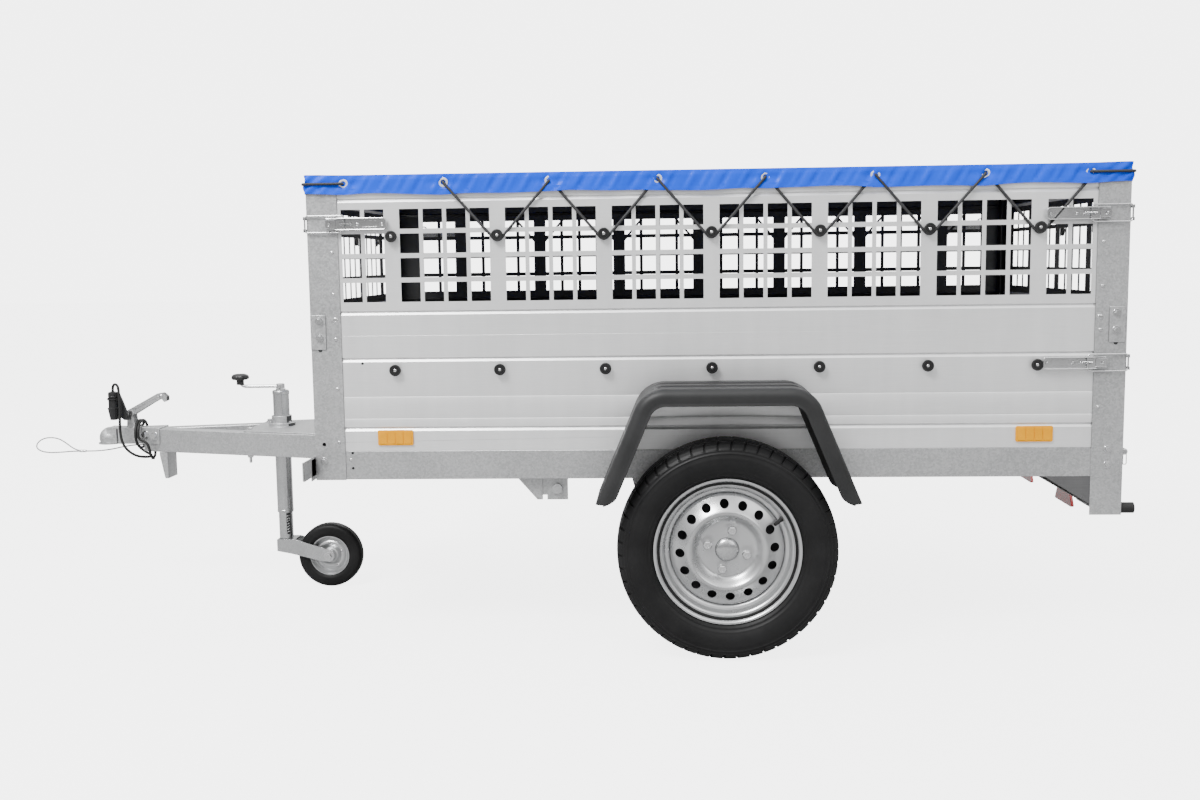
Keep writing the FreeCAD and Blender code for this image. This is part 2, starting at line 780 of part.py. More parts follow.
def make_jack():
    outer = rod((jack_x, 0, jack_bottom), (jack_x, 0, jack_top), jack_r)
    outer = outer.cut(rod((jack_x, 0, jack_bottom - 1), (jack_x, 0, jack_top - jack_cap),
                          jack_bore_r))
    save("jack_outer_tube", outer)

    arm_z = jack_top + crank_rise
    knob_x = jack_x - crank_reach
    hub = rod((jack_x, 0, jack_top), (jack_x, 0, arm_z + crank_hub_high), crank_hub_r)
    arm = rod((jack_x, 0, arm_z), (knob_x, 0, arm_z), crank_r)
    stem = rod((knob_x, 0, arm_z - crank_r), (knob_x, 0, arm_z + crank_stem), crank_r)
    save("jack_crank", join([hub, arm, stem]))
    knob_z = arm_z + crank_r + seat_gap
    bore_high = crank_stem - crank_r
    knob = turned([(crank_r, 0), (crank_knob_foot_r, 0), (crank_knob_r, crank_knob_high / 2),
                   (crank_knob_r, crank_knob_high * 0.8), (crank_knob_foot_r, crank_knob_high),
                   (0, crank_knob_high), (0, bore_high), (crank_r, bore_high)],
                  (knob_x, 0, knob_z), (0, 0, 1))
    save("jack_crank_knob", knob)

    inner = rod((jack_x, 0, inner_bottom), (jack_x, 0, jack_bottom + inner_inside), inner_r)
    save("jack_inner_tube", inner)

    # Fork: a cap under the tube and two cheeks that trail back to the wheel's axle
    cap_top = inner_bottom - swivel_gap
    low_x = jack_x - inner_r
    cap_x = jack_x + inner_r + 14
    axle = (jockey_x, jockey_r)
    cap = block((low_x, -fork_half, cap_top - fork_cap), (cap_x, fork_half, cap_top))
    cheek = [(low_x, cap_top), (cap_x, cap_top), (axle[0] + 14, axle[1] + 16),
             (axle[0] + 18, axle[1]), (axle[0] + 10, axle[1] - 16), (axle[0] - 14, axle[1] - 16),
             (jack_x + inner_r, cap_top - fork_deep - 8), (low_x, cap_top - fork_deep)]
    cheeks = [sheet_y(cheek, -fork_half, fork_plate - fork_half),
              sheet_y(cheek, fork_half - fork_plate, fork_half)]
    pin = rod((jockey_x, -fork_half - 6, jockey_r), (jockey_x, fork_half + 6, jockey_r),
              jockey_axle_r)
    save("jockey_fork", join([cap, *cheeks, pin]))

    centre = (jockey_x, 0, jockey_r)
    half = jockey_width / 2
    tyre = [(jockey_rim_r, -half + 4), (jockey_r - 12, -half), (jockey_r, -half + 12),
            (jockey_r, half - 12), (jockey_r - 12, half), (jockey_rim_r, half - 4)]
    save("jockey_tyre", turned(tyre, centre, (0, 1, 0)))
    bore = jockey_axle_r + jockey_fit
    boss = fork_half - fork_plate - 1
    web_r = jockey_rim_r - jockey_rim_lip
    rim = [(bore, -boss), (jockey_hub_r, -boss), (jockey_hub_r, -8), (web_r, -8),
           (jockey_rim_r, -half + 4), (jockey_rim_r, half - 4), (web_r, 8), (jockey_hub_r, 8),
           (jockey_hub_r, boss), (bore, boss)]
    save("jockey_rim", turned(rim, centre, (0, 1, 0)))


def make_axle():
    reach = half_width + arm_gap
    half = axle_side / 2
    beam = block((axle_x - half, -reach, axle_z - half), (axle_x + half, reach, axle_z + half))
    foot = saddle_long / 2
    waist = saddle_waist / 2
    saddle = sheet_y([(axle_x - foot, rail_bottom), (axle_x - foot, rail_bottom - saddle_foot),
                      (axle_x - waist, axle_z), (axle_x - half, axle_z - half),
                      (axle_x + half, axle_z - half), (axle_x + waist, axle_z),
                      (axle_x + foot, rail_bottom - saddle_foot), (axle_x + foot, rail_bottom)],
                     -half_width, rail_flange - half_width)
    save("axle_beam", join([beam, *both_sides(saddle)]))

    # Trailing arm: two rounded ends and the tapered plate that is tangent to both
    run = math.hypot(wheel_x - axle_x, wheel_z - axle_z)
    lean = math.atan2(wheel_z - axle_z, wheel_x - axle_x)
    splay = math.asin((arm_beam_r - arm_wheel_r) / run)
    corners = []
    for x, z, radius, side in ((axle_x, axle_z, arm_beam_r, 1), (wheel_x, wheel_z, arm_wheel_r, 1),
                               (wheel_x, wheel_z, arm_wheel_r, -1),
                               (axle_x, axle_z, arm_beam_r, -1)):
        angle = lean + side * (math.pi / 2 - splay)
        corners.append((x + radius * math.cos(angle), z + radius * math.sin(angle)))
    inner_y = -reach
    outer_y = -reach - arm_thick
    link = join([sheet_y(corners, outer_y, inner_y),
                 rod((axle_x, outer_y, axle_z), (axle_x, inner_y, axle_z), arm_beam_r),
                 rod((wheel_x, outer_y, wheel_z), (wheel_x, inner_y, wheel_z), arm_wheel_r)])
    stub = rod((wheel_x, outer_y, wheel_z), (wheel_x, -hub_face, wheel_z), stub_r)
    left = join([link, stub])
    save("swing_arm_left", left)
    save("swing_arm_right", right_of(left))


def make_wheels():
    half = tyre_width / 2
    wall = [(bead_r, bead_half), (rim_r + bead_gap, bead_half), (wall_r, half),
            (tyre_r - shoulder_drop, shoulder_half), (tyre_r, crown_half)]
    tyre = [(r, -a) for r, a in wall] + [(r, a) for r, a in reversed(wall)]

    # Rim section: flanges beside the tyre's beads, their seats and the well between them
    edge = bead_half + bead_gap
    step = edge - well_front
    well = rim_seat_r - well_depth
    barrel = [(rim_r, -edge), (rim_r, -edge - rim_wall), (rim_seat_r - rim_wall, -edge - rim_wall),
              (rim_seat_r - rim_wall, -step), (well - rim_wall, -step), (well - rim_wall, step),
              (rim_seat_r - rim_wall, step), (rim_seat_r - rim_wall, edge + rim_wall),
              (rim_r, edge + rim_wall), (rim_r, edge), (rim_seat_r, edge),
              (rim_seat_r, step - rim_wall), (well, step - rim_wall), (well, rim_wall - step),
              (rim_seat_r, rim_wall - step), (rim_seat_r, -edge)]
    face = wheel_offset
    rise = face + crest_high
    fall = face - 8
    disc = [(centre_bore_r, face), (bowl_r, face), (crest_r - 6, rise), (crest_r + 4, rise),
            (well - rim_wall, fall), (well - rim_wall, fall - 2 * disc_wall),
            (crest_r + 2, rise - disc_wall), (crest_r - 4, rise - disc_wall),
            (bowl_r + 2, face - disc_wall), (centre_bore_r, face - disc_wall)]
    centre = (wheel_x, -tyre_mid, wheel_z)
    outward = (0, -1, 0)
    vent_holes = []
    for n in range(vents):
        angle = math.radians(vent_turn + n * 360 / vents)
        x = wheel_x + vent_ring_r * math.cos(angle)
        z = wheel_z + vent_ring_r * math.sin(angle)
        vent_holes.append(rod((x, -tyre_mid, z), (x, -tyre_mid - rise - 1, z), vent_r))
    wheel = join([turned(barrel, centre, outward), turned(disc, centre, outward).cut(vent_holes)])

    # Hub: drum, mounting plate behind the disc and grease cap through its bore
    bore = stub_r + stub_fit
    plate = face - disc_wall
    start = post_y + hub_start - tyre_mid
    cap_edge = centre_bore_r - centre_fit
    hub = [(bore, start), (hub_drum_r, start), (hub_drum_r, plate - hub_plate),
           (hub_r, plate - hub_plate), (hub_r, plate), (cap_edge, plate), (cap_edge, face + 4),
           (cap_r, face + cap_reach), (0, face + cap_reach), (0, face + seat_gap),
           (bore, face + seat_gap)]
    for side, name in ((1, "left"), (-1, "right")):
        solids = {"tyre": turned(tyre, centre, outward), "rim": wheel,
                  "hub": turned(hub, centre, outward)}
        for key, solid in solids.items():
            save(key + "_" + name, solid if side == 1 else right_of(solid))


def guard_outline(inset):
    """Points of the arch's side outline, moved inwards by inset, from a foot to the roof."""
    lean = math.atan2(guard_foot_half - guard_top_half, guard_top - guard_foot_z)
    foot = guard_foot_half - inset / math.cos(lean)
    top = guard_top - inset
    corner = foot - (top - guard_foot_z) * math.tan(lean)
    radius = guard_corner_r - inset
    turn = math.pi / 2 - lean
    back = radius * math.tan(turn / 2)
    start = (corner + back * math.sin(lean), top - back * math.cos(lean))
    end = (corner - back, top)
    half_way = (math.pi / 2 + lean) / 2
    middle = (end[0] + radius * math.cos(half_way), top - radius + radius * math.sin(half_way))
    return (foot, guard_foot_z), start, middle, end


def guard_band(near, far, y0, y1):
    """Solid between two outlines of the arch, y0 to y1."""
    def point(pair, side):
        return Vector(wheel_x + side * pair[0], y0, pair[1])

    def arch(inset):
        foot, start, middle, end = guard_outline(inset)
        return [Part.makeLine(point(foot, -1), point(start, -1)),
                Part.Arc(point(start, -1), point(middle, -1), point(end, -1)).toShape(),
                Part.makeLine(point(end, -1), point(end, 1)),
                Part.Arc(point(end, 1), point(middle, 1), point(start, 1)).toShape(),
                Part.makeLine(point(start, 1), point(foot, 1))]

    outer_foot = guard_outline(near)[0]
    inner_foot = guard_outline(far)[0]
    edges = arch(near) + arch(far)
    edges += [Part.makeLine(point(outer_foot, s), point(inner_foot, s)) for s in (-1, 1)]
    wire = Part.Wire(Part.__sortEdges__(edges))
    return Part.Face(wire).extrude(Vector(0, y1 - y0, 0))


def make_mudguards():
    inner = -half_width
    outer = inner - guard_width
    roof = guard_band(0, guard_wall, outer, inner)
    skirt = guard_band(0, guard_skirt, outer, outer + guard_wall)
    flange = guard_band(0, guard_skirt, inner - guard_wall, inner)
    left = join([roof, skirt, flange])
    save("mudguard_left", left)
    save("mudguard_right", right_of(left))


def make_pivot_brackets():
    y = -half_width + rail_flange / 2
    half = pivot_plate / 2
    low = pivot_z - pivot_plate_low
    rear_plate = block((pivot_x - pivot_plate_half, y - half, low),
                       (pivot_x + pivot_plate_half, y + half, rail_bottom))
    front_x = pivot_x - pivot_plate_half - pivot_slot
    front_plate = sheet_y([(front_x, rail_bottom), (front_x, low), (front_x - pivot_gusset_tip, low),
                           (front_x - pivot_gusset, rail_bottom)], y - half, y + half)
    tie = block((front_x, y, low + pivot_slot), (pivot_x - pivot_plate_half, y + half, rail_bottom))
    head_y = y - half - pivot_head_high
    bolt = rod((pivot_x, head_y, pivot_z), (pivot_x, y + half + leg_width, pivot_z), pivot_bolt_r)
    head = rod((pivot_x, head_y, pivot_z), (pivot_x, y - half, pivot_z), pivot_head_r)
    left = join([rear_plate, tie, front_plate, bolt, head])
    save("pivot_brackets", group(both_sides(left)))


def make_rear_end():
    post_edge = rear_edge_x - post_side
    low = rail_bottom - rear_gusset_drop
    plate = sheet_y([(half_length - rear_gusset_long, rail_bottom),
                     (post_edge + rear_gusset_foot, rail_bottom),
                     (post_edge + rear_gusset_foot, low), (post_edge, low)],
                    -half_width, rear_gusset_thick - half_width)
    save("rear_gussets", group(both_sides(plate)))

    # Lamp bar: a channel open to the front, with the buffers' carriers at its ends
    bar_x = stop_x
    bar_top = lamp_bar_z + lamp_bar_high
    bar = block((bar_x - lamp_bar_deep, -half_width, lamp_bar_z), (bar_x, half_width, bar_top))
    pocket = block((bar_x - lamp_bar_deep - 1, -half_width - 1, lamp_bar_z + lamp_bar_wall),
                   (bar_x - lamp_bar_wall, half_width + 1, bar_top - lamp_bar_wall))
    carrier_half = buffer_r + buffer_wall
    buffer_y = half_width - buffer_inset
    carrier = block((bar_x, -half_width, buffer_z - carrier_half),
                    (rear_edge_x, carrier_half - buffer_y, buffer_z + carrier_half))
    save("lamp_bar", join([bar.cut(pocket), *both_sides(carrier)]))

    lamp_y = half_width - lamp_inset
    low = lamp_bar_z + (lamp_bar_high - lamp_high) / 2
    lamp = block((bar_x, -lamp_y - lamp_width / 2, low),
                 (bar_x + lamp_deep, lamp_width / 2 - lamp_y, low + lamp_high))
    y = triangle_inset - half_width
    low = lamp_bar_z - triangle_drop
    triangle = sheet_x([(y - triangle_side / 2, low), (y + triangle_side / 2, low),
                        (y, low + triangle_side * math.sqrt(3) / 2)], bar_x, bar_x + triangle_thick)
    save("rear_lamps", group(both_sides(lamp) + both_sides(triangle)))
    buffer = rod((rear_edge_x, -buffer_y, buffer_z), (rear_edge_x + buffer_long, -buffer_y, buffer_z),
                 buffer_r)
    save("tail_buffers", group(both_sides(buffer)))

    # Hinges: two lugs on the rear cross member with the pin, and the gate's leaf between them
    lugs = []
    leaves = []
    for y in hinge_at:
        y0 = y - hinge_length / 2
        y1 = y + hinge_length / 2
        starts = (y0 - lug_gap - lug, y1 + lug_gap)
        pair = [rod((hinge_x, a, hinge_z), (hinge_x, a + lug, hinge_z), knuckle_r) for a in starts]
        arms = [block((half_length, a, hinge_z - knuckle_r), (hinge_x, a + lug,
                      hinge_z + knuckle_r)) for a in starts]
        pin = rod((hinge_x, starts[0] - pin_stand_out, hinge_z),
                  (hinge_x, starts[1] + lug + pin_stand_out, hinge_z), hinge_pin_r)
        lugs.append(join([*pair, *arms, pin]))
        eye = rod((hinge_x, y0, hinge_z), (hinge_x, y1, hinge_z), knuckle_r)
        face = half_length + leaf_thick
        strap = sheet_y([(half_length, gate_bottom), (half_length, gate_bottom + leaf_high),
                         (face, gate_bottom + leaf_high), (face, gate_bottom + leaf_thick + 1),
                         (hinge_x + knuckle_r, hinge_z), (hinge_x - 4, hinge_z)], y0, y1)
        eye_bore = rod((hinge_x, y0 - 1, hinge_z), (hinge_x, y1 + 1, hinge_z),
                       hinge_pin_r + hinge_fit)
        leaves.append(join([eye, strap]).cut(eye_bore))
    save("gate_hinge_lugs", group(lugs))

    grooves = [g - run_gap for g in board_grooves]
    swages = [s - run_gap for s in board_swages]
    gate = plain_board(box_width - 2 * run_gap, gate_top - gate_bottom, grooves, swages)
    save("tailgate", on_side(gate, "rear", gate_bottom))
    outer = half_width - run_gap
    catch = block((half_length, -outer, lower_latch_z - catch_half),
                  (half_length + catch_reach, catch_wide - outer, lower_latch_z + catch_half))
    save("gate_fittings", group([*leaves, *both_sides(catch)]))


def make_cover():
    """Sheet over the box, and its doubled border that hangs down all round."""
    save("cover", block((cover_x0, -cover_y, cover_under), (cover_x1, cover_y, cover_top)))
    outer = block((cover_x0, -cover_y, cover_low), (cover_x1, cover_y, cover_under))
    inner = block((cover_x0 + cover_thick, cover_thick - cover_y, cover_low - 1),
                  (cover_x1 - cover_thick, cover_y - cover_thick, cover_under + 1))
    save("cover_skirt", outer.cut(inner))


def make_knobs():
    def knob(x, z):
        neck = rod((x, -knob_neck_long, z), (x, 0, z), knob_neck_r)
        head = rod((x, -knob_neck_long - knob_head_thick, z), (x, -knob_neck_long, z), knob_head_r)
        return join([neck, head])

    pieces = []
    for x in knob_places(box_length, side_knob_inset):
        for z in (upper_knob_z, lower_knob_z):
            pieces += both_sides(on_side(knob(x, z), "left"))
    for y in knob_places(box_width, end_knob_inset):
        pieces += [on_side(knob(y, upper_knob_z), end) for end in ("front", "rear")]
    save("rope_knobs", group(pieces))


def rope_turn(knob_x, left_x, right_x, top_z, stand_off):
    """Taut rope from one place down round a knob's neck and up to another, in board coordinates.

    The rope lies in a plane that leans outwards, so that it passes clear of the cover's skirt.
    """
    radius = knob_neck_r + rope_gap + rope_r
    knob_y = -knob_neck_long / 2
    slope = (stand_off + knob_y + rope_r + rope_gap) / (cover_low - upper_knob_z)

    def at(x, rise):
        return Vector(x, knob_y - slope * rise, upper_knob_z + rise)

    rise = top_z - upper_knob_z
    edges = []
    tangents = []
    for side, x in ((-1, left_x), (1, right_x)):
        across = x - knob_x
        far = math.hypot(across, rise)
        angle = math.atan2(rise, across) + side * math.acos(radius / far)
        tangents.append(at(knob_x + radius * math.cos(angle), radius * math.sin(angle)))
    start = at(left_x, rise)
    end = at(right_x, rise)
    edges = [Part.makeLine(start, tangents[0]),
             Part.Arc(tangents[0], at(knob_x, -radius), tangents[1]).toShape(),
             Part.makeLine(tangents[1], end)]
    section = Part.Wire(Part.makeCircle(rope_r, start, tangents[0] - start))
    return Part.Wire(edges).makePipeShell([section], True, False)


def make_rope():
    def lacing(length, inset, cover_out):
        """Every second knob is laced from eyelets in front of the skirt, the others behind it."""
        knobs = knob_places(length, inset)
        laced = knobs[1:-1]
        pieces = []
        for n, x in enumerate(laced):
            in_front = n % 2 == 0
            top = eyelet_z if in_front else cover_low - rope_gap - rope_r
            reach = eyelet_half_step * (top - upper_knob_z) / (eyelet_z - upper_knob_z)
            stand_off = cover_out if in_front else 0
            pieces.append(rope_turn(x, x - reach, x + reach, top, stand_off))
        return pieces

    cover_side = post_wall + cover_gap + cover_thick
    left = [on_side(piece, "left") for piece in lacing(box_length, side_knob_inset, cover_side)]
    ends = [on_side(piece, "front") for piece in lacing(box_width, end_knob_inset, cover_side)]
    ends += [on_side(piece, "rear")
             for piece in lacing(box_width, end_knob_inset, cover_x1 - half_length)]
    save("cover_rope", group([*left, *[right_of(piece) for piece in left], *ends]))


def make_latches():
    def toggle(x0, z, post_edge):
        """Handle from x0 along the board, with its wire hoop round the post's edge."""
        x1 = x0 + latch_length
        y0 = -post_y
        y1 = y0 - latch_deep
        half = latch_high / 2
        handle = block((x0, y1, z - half), (x1, y0, z + half))
        pocket = block((x0 + latch_end, y1 - 1, z - half + latch_wall),
                       (x1 - latch_end, y0 - latch_wall, z + half - latch_wall))
        near = x1 - hoop_inset if post_edge > 0 else x0 + hoop_inset
        half = hoop_high / 2
        wire_y = y0 - latch_deep / 2
        bars = [rod((near, wire_y, z - half), (post_edge, wire_y, z - half), hoop_wire_r),
                rod((near, wire_y, z + half), (post_edge, wire_y, z + half), hoop_wire_r),
                rod((near, wire_y, z - half), (near, wire_y, z + half), hoop_wire_r),
                rod((post_edge, wire_y, z - half), (post_edge, wire_y, z + half), hoop_wire_r)]
        return join([handle.cut(pocket), *bars])

    front_edge = front_post_x - hoop_reach
    rear_edge = rear_edge_x + hoop_reach
    rear_start = half_length - latch_inset - latch_length
    left = [toggle(latch_inset - half_length, upper_latch_z, front_edge),
            toggle(rear_start, upper_latch_z, rear_edge),
            toggle(rear_start, lower_latch_z, rear_edge)]
    save("toggle_latches", group([piece for latch in left for piece in both_sides(latch)]))


def make_reflectors():
    z = rail_bottom + reflector_rise
    pieces = []
    for x in (front_reflector_inset - half_length, half_length - rear_reflector_inset):
        plate = block((x - reflector_wide / 2, -half_width - reflector_thick,
                       z - reflector_high / 2), (x + reflector_wide / 2, -half_width,
                                                 z + reflector_high / 2))
        pieces += both_sides(plate)
    save("side_reflectors", group(pieces))

    x = front_post_x - bracket_thick
    y = -post_y - bracket_wide / 2
    z = rail_bottom + bracket_rise + bracket_high / 2
    lens = rod((x - front_reflector_thick, y, z), (x, y, z), front_reflector_r)
    save("front_reflectors", group(both_sides(lens)))


def tube(points, radius):
    """Tube along straight runs joined by tangent arcs, each as large as its two runs allow."""
    places = [Vector(*point) for point in points]
    edges = []
    radii = []
    start = places[0]
    for before, corner, after in zip(places, places[1:], places[2:]):
        arriving = corner - before
        leaving = after - corner
        cut_back = 0.45 * min(arriving.Length, leaving.Length)
        arriving.normalize()
        leaving.normalize()
        turn = arriving.getAngle(leaving)
        arc_r = cut_back / math.tan(turn / 2)
        radii.append(round(arc_r / (2 * radius), 1))
        inward = (leaving - arriving).normalize()
        middle = corner + inward * (arc_r / math.cos(turn / 2) - arc_r)
        first = corner - arriving * cut_back
        last = corner + leaving * cut_back
        edges += [Part.makeLine(start, first), Part.Arc(first, middle, last).toShape()]
        start = last
    edges.append(Part.makeLine(start, places[-1]))
    path = Part.Wire(edges)
    section = Part.Wire(Part.makeCircle(radius, places[0], places[1] - places[0]))
    solid = path.makePipeShell([section], True, False)
    print("arc radii in diameters", radii, "length", round(path.Length),
          "volume against section times length",
          round(solid.Volume / (math.pi * radius ** 2 * path.Length), 4))
    return solid


def make_cords():
    # Plug, held at its waist by a collar on a leaf that an arm joins to the lever's tower
    waist = [(plug_waist_r + seat_gap, plug_waist_low + seat_gap),
             (plug_r, plug_waist_low + seat_gap), (plug_r, plug_waist_top - seat_gap),
             (plug_waist_r + seat_gap, plug_waist_top - seat_gap)]
    collar = turned(waist, (plug_x, plug_y, plug_z), (0, 0, 1))
    tower_x = nose_x + tower_front
    arm_z = coupling_low + holder_rise
    leaf_x = plug_x + plug_r + seat_gap
    leaf = sheet_y([(leaf_x, arm_z + holder_high), (leaf_x, plug_z + plug_high),
                    (leaf_x + 12, arm_z + holder_high + 46), (tower_x + 12, arm_z + holder_high + 16),
                    (tower_x + 15, arm_z), (tower_x + 5, arm_z)],
                   plug_y - holder_half, plug_y + holder_half)
    arm = block((tower_x + 5, plug_y, arm_z), (tower_x + 15, -tower_half, arm_z + holder_high))
    link = block((plug_x + plug_body_r, plug_y - holder_half, plug_z + plug_waist_low + seat_gap),
                 (leaf_x + 1, plug_y + holder_half, plug_z + plug_waist_top - seat_gap))
    save("plug_holder", join([collar, link, leaf, arm]))
    plug = turned([(0, 0), (plug_tip_r, 0), (plug_r, plug_rim_low), (plug_r, plug_rim_top),
                   (plug_body_r, plug_rim_top), (plug_body_r, plug_waist_low),
                   (plug_waist_r, plug_waist_low), (plug_waist_r, plug_waist_top),
                   (plug_body_r, plug_waist_top), (plug_body_r, plug_high), (0, plug_high)],
                  (plug_x, plug_y, plug_z), (0, 0, 1))
    save("plug", plug)

    # Cable from the plug's top down beside the coupling, in a loop under its neck and up on the
    # far side to the coil's front face, then from the coil's rear face to the drawbar's underside
    coil_end = coil_x + coil_wide
    first = [(plug_x, plug_y, plug_z + plug_high), (plug_x, plug_y, 625.1), (-1789.4, -41.6, 634.3),
             (-1778.6, -49.1, 634.3), (-1771, -54.3, 625.1), (-1770.6, -54.2, 600.5),
             (-1770, -53.8, 562), (-1773, -53, 520), (-1774, -52, 485), (-1770, -50.5, 458),
             (-1761, -48, 438), (-1746, -43.7, 422), (-1728, -36.4, 411.5), (-1710.6, -22.7, 407.5),
             (-1703.3, -3.2, 406), (-1708.5, 17.1, 407), (-1723.2, 32, 409.8),
             (-1741, 41.5, 415.7), (-1757.8, 45.5, 427.6), (-1769.8, 45.5, 443.6),
             (-1774.4, 44.5, 459), (-1774, 41.6, 475.5), (-1765, 39.5, 488.5),
             (-1751, 38.5, 494.5), (coil_x, 38.5, 494.5)]
    second = [(coil_end, -38.5, 459.5), (-1708.5, -38.5, 459.5), (-1698, -39.5, 452.5),
              (-1692.5, -40.5, 440.5), (-1689.5, -40.5, 427.5), (-1688, -40, 414.2),
              (-1687, -32.4, 406.6), (-1685.5, -21.6, 406.6), (-1684, -14, 414.2),
              (-1684, -14, leg_bottom)]
    save("cable_run", group([tube(first, cable_r), tube(second, cable_r)]))
    coil = turned([(coil_r - cable_r, 0), (coil_r + cable_r, 0), (coil_r + cable_r, coil_wide),
                   (coil_r - cable_r, coil_wide)], (coil_x, 0, coil_z), (1, 0, 0))
    save("cable_coil", coil)

    # Breakaway wire from the drawbar's tip, forward under the coupling to its loop
    ferrule_x = -1904
    ferrule_z = 425
    wire = [(leg_tip_x, 0, 443), (-1745, 0, 443), (-1785, -3, 438), (-1827, -6, 429),
            (-1868, -7, ferrule_z), (ferrule_x, -7, ferrule_z)]
    save("safety_wire", tube(wire, wire_r))
    nose = ferrule_x - ferrule_long
    loop = [(nose, -9.6, 425), (-1948, -13, 425), (-1976, -24, 424), (-2006, -33, 424),
            (-2034, -34, 429), (-2053, -24, 439), (-2058, -5, 451), (-2050, 13, 461),
            (-2030, 24, 464), (-2002, 24, 459), (-1974, 12, 446), (-1948, 0, 432),
            (nose, -4.4, 425)]
    ferrule = rod((nose, -7, ferrule_z), (ferrule_x, -7, ferrule_z), ferrule_r)
    save("safety_loop", join([tube(loop, wire_r), ferrule]))


os.makedirs("parts", exist_ok=True)
make_boards()
make_chassis()
make_posts()
make_drawbar()
make_coupling()
make_jack()
make_axle()
make_wheels()
make_mudguards()
make_pivot_brackets()
make_rear_end()
make_cover()
make_knobs()
make_rope()
make_latches()
make_reflectors()
make_cords()
print("origin_x", origin_x)
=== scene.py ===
import json
import math
import bmesh
import bpy
import numpy as np
from mathutils import Matrix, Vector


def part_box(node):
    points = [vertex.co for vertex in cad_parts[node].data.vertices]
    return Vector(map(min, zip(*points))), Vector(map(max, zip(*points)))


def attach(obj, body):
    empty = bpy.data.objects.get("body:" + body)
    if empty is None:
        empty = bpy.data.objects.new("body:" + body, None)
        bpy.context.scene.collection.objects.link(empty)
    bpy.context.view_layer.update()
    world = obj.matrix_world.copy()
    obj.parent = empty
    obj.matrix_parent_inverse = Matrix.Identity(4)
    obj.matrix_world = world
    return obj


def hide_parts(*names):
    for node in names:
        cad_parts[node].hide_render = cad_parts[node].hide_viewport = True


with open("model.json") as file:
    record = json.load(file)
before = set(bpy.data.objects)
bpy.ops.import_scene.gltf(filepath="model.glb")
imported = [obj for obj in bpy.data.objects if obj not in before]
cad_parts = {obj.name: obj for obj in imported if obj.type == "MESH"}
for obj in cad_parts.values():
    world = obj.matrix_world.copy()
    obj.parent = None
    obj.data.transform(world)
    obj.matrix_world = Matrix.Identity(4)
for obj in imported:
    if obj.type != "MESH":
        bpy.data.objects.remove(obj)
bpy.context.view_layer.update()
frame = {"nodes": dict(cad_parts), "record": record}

nodes = frame["nodes"]
sideways = (0.0, 1.0, 0.0)
outLeft = (0.0, -1.0, 0.0)
upwards = (0.0, 0.0, 1.0)
rearwards = (1.0, 0.0, 0.0)
forwards = (-1.0, 0.0, 0.0)


def boxOf(name):
    return [np.array(corner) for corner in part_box(name)]


# Shapes: a shape is (points, faces), worked out as whole arrays

def unit(vector):
    vector = np.asarray(vector, float)
    return vector / np.linalg.norm(vector, axis=-1, keepdims=True)


def axesAcross(axis):
    # two unit directions square to the axis and to each other
    axis = unit(axis)
    helper = np.array(upwards if abs(axis[2]) < 0.9 else rearwards)
    first = unit(np.cross(helper, axis))
    return first, np.cross(axis, first)


def grid(points, closeRows=False, closeColumns=False):
    # quads between neighbouring rows and columns of a rows x columns x 3 array
    rows, columns = points.shape[:2]
    i, j = np.meshgrid(np.arange(rows - (not closeRows)), np.arange(columns - (not closeColumns)),
                       indexing="ij")
    nextI = (i + 1) % rows
    nextJ = (j + 1) % columns
    quads = np.stack([i * columns + j, i * columns + nextJ,
                      nextI * columns + nextJ, nextI * columns + j], -1)
    return points.reshape(-1, 3), quads.reshape(-1, 4)


def together(shapes):
    # one shape of several, each one's point numbers moved past those before it
    starts = np.cumsum([0] + [len(shape[0]) for shape in shapes[:-1]])
    faces = [shape[1] + start for shape, start in zip(shapes, starts)]
    return np.concatenate([shape[0] for shape in shapes]), np.concatenate(faces)


def mirrored(shape):
    # the same shape on the other side of the middle plane
    points, faces = shape
    return points * np.array([1.0, -1.0, 1.0]), faces[:, ::-1]


def bothSides(shape):
    return together([shape, mirrored(shape)])


def turned(profile, centre, axis, segments=64):
    # each profile pair (radius, height) makes a circle round the axis
    profile = np.asarray(profile, float)
    first, second = axesAcross(axis)
    angle = np.linspace(0, 2 * math.pi, segments, endpoint=False)[None, :, None]
    ring = np.cos(angle) * first + np.sin(angle) * second
    points = (np.asarray(centre) + profile[:, 0, None, None] * ring
              + profile[:, 1, None, None] * unit(axis))
    return grid(points, closeColumns=True)


def throughPoints(corners, steps):
    # open Catmull-Rom curve through the corners, with that many points in each span
    p = np.asarray(corners, float)
    padded = np.vstack([2 * p[0] - p[1], p, 2 * p[-1] - p[-2]])
    a, b, c, d = (q[:, None] for q in (padded[:-3], padded[1:-2], padded[2:-1], padded[3:]))
    t = np.linspace(0, 1, steps, endpoint=False)[None, :, None]
    curve = 0.5 * (2 * b + (c - a) * t + (2 * a - 5 * b + 4 * c - d) * t ** 2
                   + (3 * b - a - 3 * c + d) * t ** 3)
    return np.vstack([curve.reshape(-1, p.shape[1]), p[-1:]])


def roundedCorners(corners, cut, steps=6, closed=False):
    # each corner becomes a parabola that starts and ends a cut's length from it
    p = np.asarray(corners, float)
    before, middle, after = np.roll(p, 1, 0), p, np.roll(p, -1, 0)
    if not closed:
        before, middle, after = p[:-2], p[1:-1], p[2:]
    start = (middle + cut * unit(before - middle))[:, None]
    end = (middle + cut * unit(after - middle))[:, None]
    middle = middle[:, None]
    t = np.linspace(0, 1, steps)[None, :, None]
    curve = ((1 - t) ** 2 * start + 2 * t * (1 - t) * middle + t ** 2 * end).reshape(-1, 3)
    return curve if closed else np.vstack([p[:1], curve, p[-1:]])


